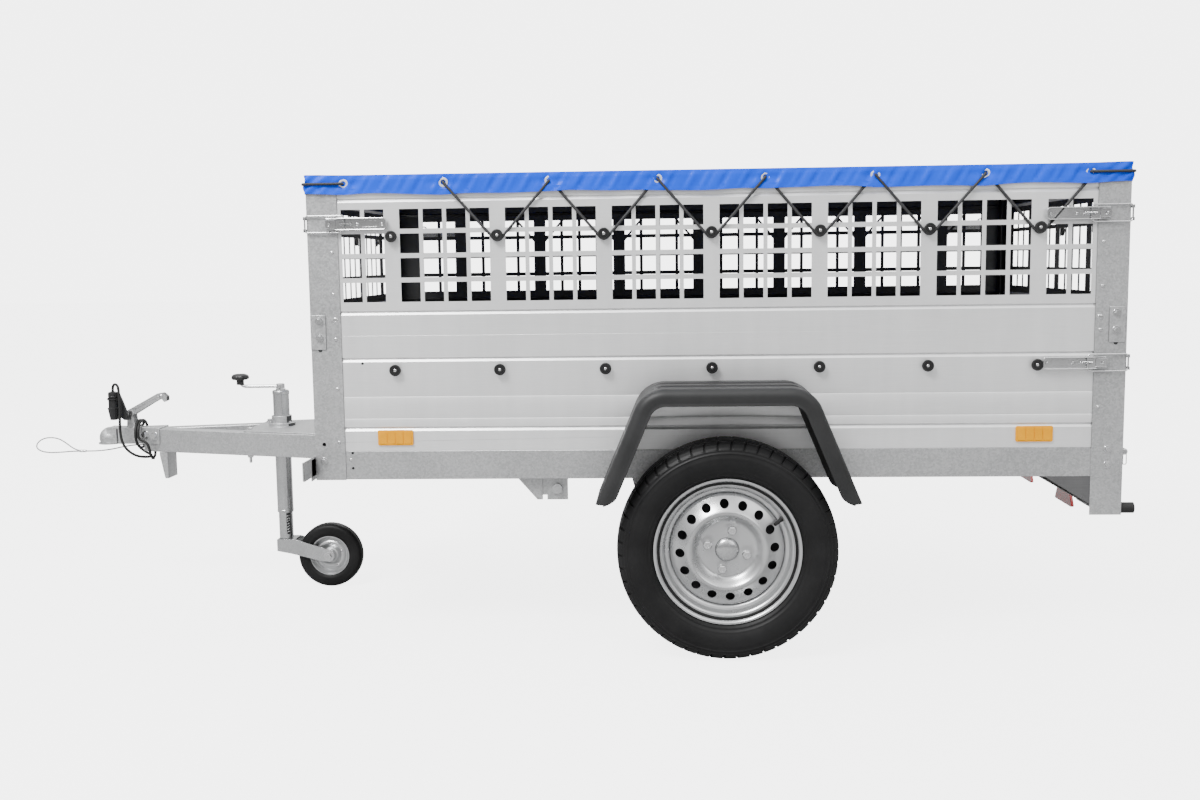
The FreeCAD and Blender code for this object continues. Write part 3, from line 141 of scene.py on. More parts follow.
def tube(path, radius, sides=12, across=upwards, closed=False):
    # a circle square to the path at each of its points, with its ends closed
    path = np.asarray(path, float)
    along = np.roll(path, -1, 0) - np.roll(path, 1, 0) if closed else np.gradient(path, axis=0)
    along = unit(along)
    first = unit(np.cross(along, across))
    second = np.cross(along, first)
    angle = np.linspace(0, 2 * math.pi, sides, endpoint=False)[None, :, None]
    radius = np.broadcast_to(np.asarray(radius, float), (len(path),))[:, None, None]
    points = path[:, None] + radius * (np.cos(angle) * first[:, None] + np.sin(angle) * second[:, None])
    if not closed:
        ends = [np.repeat(end[None, None], sides, 1) for end in (path[0], path[-1])]
        points = np.concatenate([ends[0], points, ends[1]])
    return grid(points, closeRows=closed, closeColumns=True)


def plate(centre, along, across, size, corner, edge=0.0006):
    # stacked rounded rectangles, drawn in by the edge's size at the top and the bottom
    wide, high, thick = size
    along, across = unit(along), unit(across)
    outward = np.cross(along, across)
    edge = min(edge, thick / 3)
    angle = np.linspace(0, math.pi / 2, 6)[None] + np.arange(4)[:, None] * math.pi / 2
    signs = np.array([[1, 1], [-1, 1], [-1, -1], [1, -1]], float)[:, None]
    arc = np.stack([np.cos(angle), np.sin(angle)], -1)
    rings = []
    for inset, height in ((0, None), (edge, 0), (0, edge), (0, thick - edge), (edge, thick), (0, None)):
        if height is None:
            flat = np.zeros((24, 2))
            height = thick if rings else 0
        else:
            radius = max(corner - inset, 1e-5)
            half = np.array([wide, high]) / 2 - inset - radius
            flat = (signs * half + radius * arc).reshape(-1, 2)
        rings.append(np.asarray(centre) + flat[:, :1] * along + flat[:, 1:] * across + height * outward)
    return grid(np.array(rings), closeColumns=True)


def hexBolt(place, outward, across=0.013, high=0.006, washer=0.01):
    # a washer, a six-sided head and its rounded top
    r = across / math.sqrt(3)
    head = [(0, 0.0015), (r, 0.0015), (r, high * 0.85), (r * 0.86, high + 0.001), (0, high + 0.001)]
    disc = [(0, 0), (washer, 0), (washer, 0.0013), (washer - 0.0005, 0.0017), (0, 0.0017)]
    return together([turned(disc, place, outward, 24), turned(head, place, outward, 6)])


def domeRivet(place, outward, radius=0.005, high=0.0025, hollow=0.0012):
    # a flat dome with the small dimple that its pin leaves
    rim = np.linspace(0, math.pi / 2, 5)
    dome = np.stack([radius * np.cos(rim), high * np.sin(rim)], -1)
    dome[-1] = (hollow, high)
    profile = np.vstack([[(0, 0)], dome, [(hollow, high * 0.4), (0, high * 0.4)]])
    return turned(profile, place, outward, 20)


def showObject(name, data):
    thing = bpy.data.objects.new(name, data)
    bpy.context.scene.collection.objects.link(thing)
    return thing


def cleanMesh(name, shape, uv=None):
    # the shape's doubles are merged and its faces turned outwards
    points, faces = shape
    mesh = bpy.data.meshes.new(name)
    mesh.from_pydata(points.tolist(), [], faces.tolist())
    if uv is not None:
        mesh.uv_layers.new(name="strand").data.foreach_set("uv", uv.ravel())
    work = bmesh.new()
    work.from_mesh(mesh)
    bmesh.ops.remove_doubles(work, verts=work.verts, dist=1e-6)
    bmesh.ops.recalc_face_normals(work, faces=work.faces)
    work.to_mesh(mesh)
    work.free()
    return mesh


def shadeSmooth(mesh, sharp):
    mesh.polygons.foreach_set("use_smooth", np.ones(len(mesh.polygons), bool))
    mesh.set_sharp_from_angle(angle=math.radians(sharp))


def declare(piece, body, replaced):
    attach(piece, body)
    if replaced:
        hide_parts(*replaced)
    return piece


def makePiece(name, shape, finish, body, replaced=(), sharp=35, bevel=0.0, uv=None):
    mesh = cleanMesh(name, shape, uv)
    shadeSmooth(mesh, sharp)
    mesh.materials.append(finishes[finish])
    piece = showObject(name, mesh)
    if bevel:
        addBevel(piece, bevel)
    return declare(piece, body, replaced)


def addBevel(piece, width):
    rounding = piece.modifiers.new("edgeRounding", "BEVEL")
    rounding.width = width
    rounding.segments = 2
    rounding.limit_method = "ANGLE"
    rounding.angle_limit = math.radians(40)
    rounding.harden_normals = False


# Shared effects as shader node groups

def feed(tree, node, inputs):
    # each input, by its name or number, reads a socket or takes a plain value
    for key, value in inputs:
        if isinstance(value, bpy.types.NodeSocket):
            tree.links.new(value, node.inputs[key])
        else:
            node.inputs[key].default_value = value


def addNode(tree, kind, inputs=(), **settings):
    node = tree.nodes.new(kind)
    for key, value in settings.items():
        setattr(node, key, value)
    feed(tree, node, inputs)
    return node


def mathNode(tree, operation, *values):
    return addNode(tree, "ShaderNodeMath", enumerate(values), operation=operation).outputs[0]


def textureNode(tree, kind, place, scale, **inputs):
    return addNode(tree, "ShaderNodeTex" + kind, [("Vector", place), ("Scale", scale), *inputs.items()])


def objectPlace(group):
    return group.nodes.new("ShaderNodeTexCoord").outputs["Object"]


def spangle(group, given):
    # zinc crystals: cells of their own brightness under a slow cloud
    place = objectPlace(group)
    warp = textureNode(group, "Noise", place, 60.0, Detail=2.0)
    moved = addNode(group, "ShaderNodeVectorMath", [(0, warp.outputs["Color"]), ("Scale", 0.006)],
                    operation="SCALE")
    spot = addNode(group, "ShaderNodeVectorMath", [(0, place), (1, moved.outputs[0])], operation="ADD")
    cells = textureNode(group, "Voronoi", spot.outputs[0], given["Crystals"])
    cloud = textureNode(group, "Noise", place, given["Clouds"], Detail=5.0, Roughness=0.6)
    split = addNode(group, "ShaderNodeSeparateColor", [("Color", cells.outputs["Color"])])
    crystal = mathNode(group, "MULTIPLY", split.outputs["Red"], given["Mix"])
    rest = mathNode(group, "SUBTRACT", 1.0, given["Mix"])
    slow = mathNode(group, "MULTIPLY", cloud.outputs["Fac"], rest)
    return {"Tone": mathNode(group, "ADD", crystal, slow), "Height": split.outputs["Green"]}


def wear(group, given):
    # handling marks: fine scratches in one direction, streaks that ran down and a cloud
    place = objectPlace(group)
    long = addNode(group, "ShaderNodeMapping", [("Vector", place), ("Scale", (0.25, 6.0, 6.0))])
    tall = addNode(group, "ShaderNodeMapping", [("Vector", place), ("Scale", (3.0, 3.0, 0.35))])
    scratch = textureNode(group, "Noise", long.outputs[0], given["Scratches"], Detail=8.0, Roughness=0.75)
    streak = textureNode(group, "Noise", tall.outputs[0], given["Streaks"], Detail=4.0, Roughness=0.55)
    cloud = textureNode(group, "Noise", place, given["Clouds"], Detail=3.0)
    marks, streaks, clouds = (mathNode(group, "MULTIPLY", node.outputs["Fac"], share)
                              for node, share in ((scratch, 0.35), (streak, 0.3), (cloud, 0.35)))
    tone = mathNode(group, "ADD", mathNode(group, "ADD", marks, streaks), clouds)
    return {"Tone": tone, "Height": scratch.outputs["Fac"]}


def grain(group, given):
    # moulded or rubber skin: pores of one size under dust that lies in patches
    place = objectPlace(group)
    pores = textureNode(group, "Voronoi", place, given["Pores"])
    pores.feature = "SMOOTH_F1"
    dust = textureNode(group, "Noise", place, given["Dust"], Detail=6.0, Roughness=0.65)
    return {"Tone": dust.outputs["Fac"], "Height": pores.outputs["Distance"]}


def braid(group, given):
    # two sets of slanted strands over and under each other, along the piece's own UV map
    uv = group.nodes.new("ShaderNodeTexCoord").outputs["UV"]
    split = addNode(group, "ShaderNodeSeparateXYZ", [("Vector", uv)])
    along = mathNode(group, "MULTIPLY", split.outputs["X"], given["Along"])
    around = mathNode(group, "MULTIPLY", split.outputs["Y"], given["Around"])
    waves = [mathNode(group, "SINE", mathNode(group, "MULTIPLY", mathNode(group, way, along, around),
                                              2 * math.pi)) for way in ("ADD", "SUBTRACT")]
    over = mathNode(group, "MAXIMUM", *waves)
    # the colour follows this height, so the strands are darker where they run under: painted shade
    # between the strands
    height = mathNode(group, "ADD", mathNode(group, "MULTIPLY", over, 0.5), 0.5)
    return {"Tone": height, "Height": height}


def insideShadeMask(group, given):
    # 1 on faces above the floor that look towards the box's middle, which get painted shade for the
    # shade inside the box: the product of the normal and the place, taken from the middle, is negative
    # there along X or along Y
    coordinates = group.nodes.new("ShaderNodeTexCoord").outputs
    place, normal = (addNode(group, "ShaderNodeSeparateXYZ", [("Vector", coordinates[kind])]).outputs
                     for kind in ("Object", "Normal"))
    along = mathNode(group, "SUBTRACT", place["X"], given["Middle"])
    endFace = mathNode(group, "LESS_THAN", mathNode(group, "MULTIPLY", along, normal["X"]), -0.9)
    across = mathNode(group, "MULTIPLY", place["Y"], normal["Y"])
    sideFace = mathNode(group, "LESS_THAN", across, -0.25)
    above = mathNode(group, "GREATER_THAN", place["Z"], given["Floor"])
    either = mathNode(group, "MAXIMUM", endFace, sideFace)
    return {"Mask": mathNode(group, "MULTIPLY", either, above)}


def newGroup(build, inputs):
    # the function that fills the group gives back the socket that each output reads
    group = bpy.data.node_groups.new(build.__name__, "ShaderNodeTree")
    for label, value in inputs.items():
        socket = group.interface.new_socket(label, in_out="INPUT", socket_type="NodeSocketFloat")
        socket.default_value = value
    results = build(group, group.nodes.new("NodeGroupInput").outputs)
    for label in results:
        group.interface.new_socket(label, in_out="OUTPUT", socket_type="NodeSocketFloat")
    addNode(group, "NodeGroupOutput", results.items())
    return group


groups = {"spangle": newGroup(spangle, {"Crystals": 120.0, "Clouds": 5.0, "Mix": 0.4}),
          "wear": newGroup(wear, {"Scratches": 60.0, "Streaks": 9.0, "Clouds": 3.0}),
          "grain": newGroup(grain, {"Pores": 900.0, "Dust": 8.0}),
          "braid": newGroup(braid, {"Along": 300.0, "Around": 6.0}),
          "insideShadeMask": newGroup(insideShadeMask, {"Middle": 0.3965, "Floor": 0.5})}


def makeMaterial(name, recipe):
    # colour and roughness run from their first value to their second with the group's tone
    effectName, values, first, last, roughness, others = recipe
    material = bpy.data.materials.new(name)
    material.use_nodes = True
    tree = material.node_tree
    effect = addNode(tree, "ShaderNodeGroup", node_tree=groups[effectName])
    feed(tree, effect, values.items())
    tone = effect.outputs["Tone"]
    spread = addNode(tree, "ShaderNodeMapRange", [("Value", tone), ("From Min", others.get("from", 0.3)),
                                                  ("From Max", others.get("to", 0.7))])
    colour = addNode(tree, "ShaderNodeMix", [("Factor", spread.outputs[0]), (6, (*first, 1)),
                                             (7, (*last, 1))], data_type="RGBA").outputs[2]
    if "insideShadeTone" in others:
        # painted shade: the faces inside the box are darkened to stand for the shade they lie in
        mask = addNode(tree, "ShaderNodeGroup", node_tree=groups["insideShadeMask"])
        shade = [part * others["insideShadeTone"] for part in first]
        colour = addNode(tree, "ShaderNodeMix", [("Factor", mask.outputs["Mask"]), (6, colour),
                                                 (7, (*shade, 1))], data_type="RGBA").outputs[2]
    gloss = addNode(tree, "ShaderNodeMapRange", [("Value", tone), ("To Min", roughness[0]),
                                                 ("To Max", roughness[1])])
    bump = addNode(tree, "ShaderNodeBump", [("Strength", others.get("bump", 0.3)),
                                            ("Distance", others.get("depth", 0.0003)),
                                            ("Height", effect.outputs["Height"])])
    feed(tree, tree.nodes["Principled BSDF"],
         [("Base Color", colour), ("Roughness", gloss.outputs[0]), ("Normal", bump.outputs[0]),
          ("Metallic", others.get("metallic", 0.0)), *others.get("shader", {}).items()])
    return material


# name: (effect, its values, first colour, last colour, first and last roughness, other values)
recipes = {
    # the boards and the frame are darker on the faces inside the box: painted shade
    "boardZinc": ("wear", {}, (0.7, 0.704, 0.708), (0.86, 0.862, 0.865), (0.32, 0.46),
        {"metallic": 0.55, "bump": 0.05, "depth": 0.0004, "insideShadeTone": 0.12}),
    "frameZinc": ("spangle", {"Crystals": 260.0, "Mix": 0.5}, (0.38, 0.384, 0.388),
        (0.54, 0.544, 0.548), (0.34, 0.52),
        {"metallic": 0.75, "bump": 0.1, "depth": 0.0002, "from": 0.2, "to": 0.8, "insideShadeTone": 0.18}),
    "blackSteel": ("wear", {}, (0.018, 0.018, 0.02), (0.04, 0.04, 0.043), (0.35, 0.6),
        {"metallic": 0.1, "bump": 0.1, "shader": {"Specular IOR Level": 0.3}}),
    "gussetSteel": ("wear", {}, (0.085, 0.085, 0.087), (0.15, 0.15, 0.152), (0.35, 0.55),
        {"metallic": 0.4, "bump": 0.1, "shader": {"Specular IOR Level": 0.3}}),
    "plywood": ("grain", {"Pores": 500.0, "Dust": 5.0}, (0.045, 0.028, 0.02), (0.1, 0.065, 0.045),
        (0.45, 0.7), {"bump": 0.4}),
    "mudguardPlastic": ("grain", {}, (0.013, 0.0132, 0.0135), (0.022, 0.0222, 0.0228), (0.42, 0.55),
        {"bump": 0.25, "depth": 0.0002, "shader": {"Specular IOR Level": 0.28}}),
    "tyreRubber": ("grain", {"Pores": 1400.0, "Dust": 11.0}, (0.006, 0.006, 0.0062),
        (0.012, 0.012, 0.0123), (0.38, 0.55),
        {"bump": 0.15, "depth": 0.0002, "shader": {"Specular IOR Level": 0.18}}),
    "wheelSilver": ("grain", {"Pores": 2600.0, "Dust": 4.0}, (0.46, 0.465, 0.47), (0.56, 0.565, 0.57),
        (0.22, 0.34), {"metallic": 0.85, "bump": 0.04, "depth": 0.0001, "shader": {"Coat Weight": 0.25}}),
    "bareSteel": ("spangle", {"Crystals": 400.0, "Mix": 0.25}, (0.42, 0.425, 0.43), (0.6, 0.605, 0.61),
        (0.16, 0.32), {"metallic": 0.92, "bump": 0.08, "depth": 0.0001}),
    "coverFabric": ("grain", {"Pores": 700.0, "Dust": 3.0}, (0.0, 0.05, 0.56), (0.0, 0.08, 0.84),
        (0.26, 0.4),
        {"bump": 0.06, "depth": 0.0002, "from": 0.1, "to": 0.9, "shader": {"Specular IOR Level": 0.12}}),
    "ropeSleeve": ("braid", {}, (0.008, 0.008, 0.009), (0.03, 0.03, 0.032), (0.5, 0.7),
        {"bump": 0.6, "depth": 0.0005, "from": 0.2, "to": 1.0}),
    "knobPlastic": ("grain", {}, (0.008, 0.008, 0.0085), (0.018, 0.018, 0.0185), (0.32, 0.5),
        {"bump": 0.15, "shader": {"Specular IOR Level": 0.4}}),
    "latchZinc": ("wear", {"Scratches": 160.0, "Clouds": 14.0}, (0.5, 0.505, 0.51), (0.72, 0.72, 0.725),
        (0.14, 0.28), {"metallic": 0.95, "bump": 0.08, "depth": 0.0002}),
    "amberLens": ("grain", {"Pores": 330.0, "Dust": 20.0}, (0.66, 0.27, 0.0), (0.82, 0.35, 0.0),
        (0.25, 0.4), {"bump": 0.4, "depth": 0.0006, "shader": {"Specular IOR Level": 0.1}}),
    "whiteLens": ("grain", {"Pores": 330.0}, (0.75, 0.75, 0.75), (0.9, 0.9, 0.9), (0.1, 0.2),
        {"bump": 0.5, "depth": 0.0006, "shader": {"Coat Weight": 0.6}}),
    "redLens": ("grain", {"Pores": 330.0}, (0.4, 0.004, 0.004), (0.62, 0.012, 0.01), (0.12, 0.22),
        {"bump": 0.5, "depth": 0.0006, "shader": {"Coat Weight": 0.6}}),
    "blackRubber": ("grain", {"Pores": 1200.0}, (0.008, 0.008, 0.008), (0.018, 0.018, 0.018),
        (0.45, 0.65), {"bump": 0.12, "shader": {"Specular IOR Level": 0.3}}),
    "wireRope": ("braid", {"Along": 260.0, "Around": 3.0}, (0.12, 0.12, 0.125), (0.42, 0.42, 0.425),
        (0.25, 0.45), {"metallic": 0.9, "bump": 0.8, "depth": 0.0006, "from": 0.1, "to": 0.9}),
    "eyeletMetal": ("wear", {"Scratches": 300.0}, (0.78, 0.78, 0.79), (0.92, 0.92, 0.92), (0.22, 0.4),
        {"metallic": 0.6, "bump": 0.05}),
    "rimShade": ("grain", {"Dust": 6.0}, (0.02, 0.02, 0.021), (0.05, 0.05, 0.052), (0.6, 0.8),
        {"bump": 0.1, "shader": {"Specular IOR Level": 0.2}}),
    "paleFloor": ("grain", {"Pores": 60.0, "Dust": 0.7}, (0.32, 0.32, 0.32), (0.36, 0.36, 0.36),
        (0.7, 0.85), {"bump": 0.0}),
}
finishes = {name: makeMaterial(name, recipe) for name, recipe in recipes.items()}
print("materials", len(finishes))


# Camera, lights and floor

cameraView = {"place": (0.2731, -3.7333, 0.99), "turn": -2.939, "down": 6.409, "roll": -0.768,
              "lens": 37.44}


def setUp(thing, axes, place):
    # the thing's own three axes in the frame, and where it stands
    rows = zip(np.stack(axes, 1), place)
    thing.matrix_world = Matrix([[*row, spot] for row, spot in rows] + [[0, 0, 0, 1]])


def placeCamera(view):
    turn, down, roll = (math.radians(view[key]) for key in ("turn", "down", "roll"))
    level = np.array([math.sin(turn), math.cos(turn), 0])
    right = np.array([math.cos(turn), -math.sin(turn), 0])
    up = np.array(upwards)
    ahead = level * math.cos(down) - up * math.sin(down)
    above = level * math.sin(down) + up * math.cos(down)
    side = right * math.cos(roll) + above * math.sin(roll)
    top = above * math.cos(roll) - right * math.sin(roll)
    data = bpy.data.cameras.new("photoCamera")
    data.lens = view["lens"]
    data.sensor_width = 36.0
    data.sensor_fit = "HORIZONTAL"
    camera = showObject("photoCamera", data)
    setUp(camera, (side, top, -ahead), view["place"])
    bpy.context.scene.camera = camera


lighting = {
    # sky's strength at the horizon and overhead, and the backdrop's that the camera sees
    "horizon": 0.32, "overhead": 2.3, "backdrop": 5.0, "floorGlow": 4.2,
    "lamps": {"keyLamp": ((-2.2, -3.6, 5.2), 2.2, 560.0), "fillLamp": ((3.4, -4.6, 3.2), 2.6, 40.0),
              "rearLamp": ((0.3, 4.6, 4.2), 4.0, 120.0)},
    "target": (0.1, 0.0, 0.6),
}


def placeLights(values):
    # the sky is brighter overhead than at the horizon; straight behind the object it is white
    world = bpy.data.worlds.new("studio")
    world.use_nodes = True
    tree = world.node_tree
    way = tree.nodes.new("ShaderNodeTexCoord")
    split = addNode(tree, "ShaderNodeSeparateXYZ", [("Vector", way.outputs["Generated"])])
    rise = addNode(tree, "ShaderNodeMapRange", [
        ("Value", split.outputs["Z"]), ("To Min", values["horizon"]), ("To Max", values["overhead"])])
    seen = tree.nodes.new("ShaderNodeLightPath")
    mix = addNode(tree, "ShaderNodeMix", [(0, seen.outputs["Is Camera Ray"]), (2, rise.outputs[0]),
                                          (3, values["backdrop"])])
    feed(tree, tree.nodes["Background"], [("Color", (1, 1, 1, 1)), ("Strength", mix.outputs[0])])
    bpy.context.scene.world = world
    for name, (place, size, power) in values["lamps"].items():
        data = bpy.data.lights.new(name, "AREA")
        data.size = size
        data.energy = power
        away = unit(place - np.array(values["target"]))
        setUp(showObject(name, data), (*axesAcross(away), away), place)


def placeFloor(values):
    # the floor glows a little in the camera's sight, so that it meets the white backdrop
    reach = 30.0
    points = np.array([[-reach, -reach, 0], [reach, -reach, 0], [reach, reach, 0], [-reach, reach, 0]])
    mesh = bpy.data.meshes.new("studioFloor")
    mesh.from_pydata(points.tolist(), [], [[0, 1, 2, 3]])
    tree = finishes["paleFloor"].node_tree
    seen = tree.nodes.new("ShaderNodeLightPath")
    glow = mathNode(tree, "MULTIPLY", seen.outputs["Is Camera Ray"], values["floorGlow"])
    feed(tree, tree.nodes["Principled BSDF"],
         [("Emission Color", (1, 1, 1, 1)), ("Emission Strength", glow)])
    mesh.materials.append(finishes["paleFloor"])
    showObject("studioFloor", mesh)


placeCamera(cameraView)
placeLights(lighting)
placeFloor(lighting)
print("camera, lights and floor")


# The CAD nodes keep their shape and get their finish, rounded shading and softened edges

slotFinish = {"board_zinc": "boardZinc", "frame_zinc": "frameZinc", "black_steel": "blackSteel",
              "plywood": "plywood", "mudguard_plastic": "mudguardPlastic",
              "tyre_rubber": "tyreRubber", "wheel_silver": "wheelSilver",
              "bare_steel": "bareSteel", "cover_pvc": "coverFabric",
              "rope_rubber": "ropeSleeve", "knob_plastic": "knobPlastic",
              "latch_chrome": "latchZinc", "amber_lens": "amberLens", "white_lens": "whiteLens",
              "red_lens": "redLens", "black_rubber": "blackRubber",
              "plug_plastic": "knobPlastic", "wire_rope": "wireRope"}
ownFinish = {"rear_gussets": "gussetSteel"}
# width of the rounding on each node's edges, in metres
edgeSoftness = {node: width for width, names in (
    (0.0006, "gate_hinge_lugs side_board_left side_board_right front_board tailgate floor_panel"),
    (0.0007, "gate_fittings"), (0.0008, "rear_gussets jack_crank"),
    (0.001, "drawbar_gusset coupling_lever pivot_brackets lamp_bar cross_members"),
    (0.0012, "side_rails post_splices coupling_head coupling_cup jockey_fork"),
    (0.0015, "parking_foot"), (0.002, "axle_beam swing_arm_left swing_arm_right tail_buffers"),
    (0.0025, "drawbar_left drawbar_right")) for node in names.split()}


def smoothingGroup():
    # doubles merged, then smooth shading wherever two faces meet at less than 30 degrees
    group = bpy.data.node_groups.new("smoothFacets", "GeometryNodeTree")
    for way in ("INPUT", "OUTPUT"):
        group.interface.new_socket("Geometry", in_out=way, socket_type="NodeSocketGeometry")
    start = group.nodes.new("NodeGroupInput")
    weld = addNode(group, "GeometryNodeMergeByDistance", [("Geometry", start.outputs[0]),
                                                          ("Distance", 0.00002)])
    angle = group.nodes.new("GeometryNodeInputMeshEdgeAngle")
    gentle = addNode(group, "FunctionNodeCompare", [(0, angle.outputs["Unsigned Angle"]),
                                                    (1, math.radians(30))], operation="LESS_THAN")
    faces = addNode(group, "GeometryNodeSetShadeSmooth", [("Geometry", weld.outputs["Geometry"])])
    edges = addNode(group, "GeometryNodeSetShadeSmooth", [("Geometry", faces.outputs[0]),
                                                          ("Shade Smooth", gentle.outputs[0])],
                    domain="EDGE")
    addNode(group, "NodeGroupOutput", [(0, edges.outputs[0])])
    return group


smoothFacets = smoothingGroup()
nodeSlot = {part["node"]: part["material_slot"] for part in frame["record"]["subparts"]}
for nodeName, node in nodes.items():
    finish = finishes[ownFinish.get(nodeName, slotFinish[nodeSlot[nodeName]])]
    if not node.material_slots:
        node.data.materials.append(finish)
    for place in node.material_slots:
        place.material = finish
    smoothing = node.modifiers.new("smoothFacets", "NODES")
    smoothing.node_group = smoothFacets
    if nodeName in edgeSoftness:
        addBevel(node, edgeSoftness[nodeName])
print("CAD nodes finished", len(nodes))


# Cable and breakaway wire

cableRoute = {
    "diameter": 0.008,
    "fromPlug": [
        (-1.4005, -0.0363, 0.612), (-1.4005, -0.0363, 0.6251), (-1.3929, -0.0416, 0.6343),
        (-1.3821, -0.0491, 0.6343), (-1.3745, -0.0543, 0.6251), (-1.3741, -0.0542, 0.6005),
        (-1.3735, -0.0538, 0.562), (-1.3765, -0.053, 0.52), (-1.3775, -0.052, 0.485),
        (-1.3735, -0.0505, 0.458), (-1.3645, -0.048, 0.438), (-1.3495, -0.0437, 0.422),
        (-1.3315, -0.0364, 0.4115), (-1.3141, -0.0227, 0.4075), (-1.3068, -0.0032, 0.406),
        (-1.312, 0.0171, 0.407), (-1.3267, 0.032, 0.4098), (-1.3445, 0.0415, 0.4157),
        (-1.3613, 0.0455, 0.4276), (-1.3733, 0.0455, 0.4436), (-1.3779, 0.0445, 0.459),
        (-1.3775, 0.0416, 0.4755), (-1.3685, 0.0395, 0.4885), (-1.3545, 0.0385, 0.4945),
    ],
    "toDrawbar": [
        (-1.312, -0.0385, 0.4595), (-1.3015, -0.0395, 0.4525), (-1.296, -0.0405, 0.4405),
        (-1.293, -0.0405, 0.4275), (-1.2915, -0.04, 0.4142), (-1.2905, -0.0324, 0.4066),
        (-1.289, -0.0216, 0.4066), (-1.2875, -0.014, 0.4142), (-1.2875, -0.014, 0.425),
    ],
    "coilMiddle": (0.0, 0.477), "coilRadius": 0.043, "coilStart": -1.3385, "coilEnd": -1.3262,
    "firstAngle": 36.0, "lastAngle": 554.0, "coilPoints": 22, "length": 1.03,
}
wireRoute = {
    "diameter": 0.004, "length": 0.528,
    "points": [
        (-1.3205, 0.0, 0.443), (-1.3485, 0.0, 0.443), (-1.3885, -0.003, 0.438),
        (-1.4305, -0.006, 0.429), (-1.4715, -0.007, 0.425), (-1.5075, -0.0088, 0.425),
        (-1.5295, -0.0096, 0.425), (-1.5515, -0.013, 0.425), (-1.5795, -0.024, 0.424),
        (-1.6095, -0.033, 0.424), (-1.6375, -0.034, 0.429), (-1.6565, -0.024, 0.439),
        (-1.6615, -0.005, 0.451), (-1.6535, 0.013, 0.461), (-1.6335, 0.024, 0.464),
        (-1.6055, 0.024, 0.459), (-1.5775, 0.012, 0.446), (-1.5515, 0.0, 0.432),
        (-1.5295, -0.0044, 0.425), (-1.512, -0.005, 0.425),
    ],
    "ferrule": ((-1.5295, -0.007, 0.425), 0.022, 0.0056),
}


def splineCurve(name, points, radius):
    # one open spline with the route's points as its control points
    curve = bpy.data.curves.new(name, "CURVE")
    curve.dimensions = "3D"
    curve.bevel_depth = radius
    curve.bevel_resolution = 5
    curve.use_fill_caps = True
    curve.resolution_u = 10
    spline = curve.splines.new("NURBS")
    spline.points.add(len(points) - 1)
    spline.points.foreach_set("co", np.hstack([points, np.ones((len(points), 1))]).ravel())
    spline.order_u = 3
    spline.use_endpoint_u = True
    return curve


def makeCord(name, points, route, finish, replaced):
    curve = splineCurve(name, points, route["diameter"] / 2)
    curve.materials.append(finishes[finish])
    return declare(showObject(name, curve), "drawbar", replaced)


def makeCable(route):
    # between its two runs the cable winds round the coupling's neck: circles that move along X
    turn = np.radians(np.linspace(route["firstAngle"], route["lastAngle"], route["coilPoints"]))
    y, z = route["coilMiddle"]
    winding = np.stack([np.linspace(route["coilStart"], route["coilEnd"], len(turn)),
                        y + route["coilRadius"] * np.cos(turn),
                        z + route["coilRadius"] * np.sin(turn)], -1)
    points = np.vstack([route["fromPlug"], winding, route["toDrawbar"]])[::-1]
    return makeCord("trailerCable", points, route, "blackRubber",
                    ("cable_run", "cable_coil"))


def makeWire(route):
    # the wire runs through its ferrule, round the eye and back into the ferrule
    return makeCord("safetyWire", np.array(route["points"]), route, "wireRope",
                    ("safety_wire", "safety_loop"))


def makeFerrule(route):
    # pressed sleeve: a turned oval with shallow dents along it
    place, length, radius = route["ferrule"]
    along = np.linspace(0, length, 23)
    dents = radius * (1 - 0.1 * (np.sin(along / length * math.pi * 5) > 0.3))
    profile = np.vstack([[(0, 0), (radius * 0.7, 0)], np.stack([dents, along], -1)[1:-1],
                         [(radius * 0.7, length), (0, length)]])
    points, faces = turned(profile, place, rearwards, 24)
    points[:, 2] = place[2] + (points[:, 2] - place[2]) * 0.72
    return makePiece("wireFerrule", (points, faces), "latchZinc", "drawbar")


plugRecipe = {"place": (-1.4005, -0.0363), "low": 0.525,
              "profile": [(0, 0), (0.01, 0.0), (0.0116, 0.002), (0.0146, 0.02),
                          (0.0168, 0.0325), (0.0175, 0.0345), (0.0175, 0.0366), (0.0165, 0.0375),
                          (0.0145, 0.038), (0.0143, 0.06), (0.0132, 0.061), (0.012, 0.0612),
                          (0.012, 0.0668), (0.0135, 0.0672), (0.0146, 0.069), (0.0146, 0.072),
                          (0.014, 0.073), (0.0146, 0.0745), (0.0146, 0.077), (0.0138, 0.084),
                          (0.007, 0.0868), (0, 0.087)]}


def makePlug(recipe):
    # turned body whose grip has sixteen flutes: the radius falls a little between them
    points, faces = turned(recipe["profile"], (*recipe["place"], recipe["low"]), upwards, 96)
    centre = np.array(recipe["place"])
    height = points[:, 2] - recipe["low"]
    angle = np.arctan2(points[:, 1] - centre[1], points[:, 0] - centre[0])
    fluted = (height > 0.001) & (height < 0.034)
    shrink = 1 - 0.05 * fluted * np.maximum(0, np.cos(16 * angle))
    points = np.hstack([centre + (points[:, :2] - centre) * shrink[:, None], points[:, 2:]])
    return makePiece("cablePlug", (points, faces), "knobPlastic", "drawbar", ("plug",))


plug = makePlug(plugRecipe)
cable = makeCable(cableRoute)
wire = makeWire(wireRoute)
ferrule = makeFerrule(wireRoute)
print("cable and wire")


# Cover: one sheet over the box, folded down into a skirt all round

coverRecipe = {"skirt": 0.049, "corner": 0.009, "fold": 0.009, "sag": 0.01, "hem": 0.0012,
               "eyeletDrop": 0.022, "cornerEyelet": 0.096, "eyeletHalfStep": 0.135,
               "eyeletOuter": 0.0125, "eyeletHole": 0.0062, "endEyelets": (-0.456, -0.135, 0.135, 0.456),
               # how far along the skirt an eyelet, a corner and a rope's exit act on it
               "eyeletReach": 0.035, "cornerReach": 0.07, "exitReach": 0.03,
               "pucker": 0.0042, "puckerHigh": 0.012, "exitBulge": 0.0042}
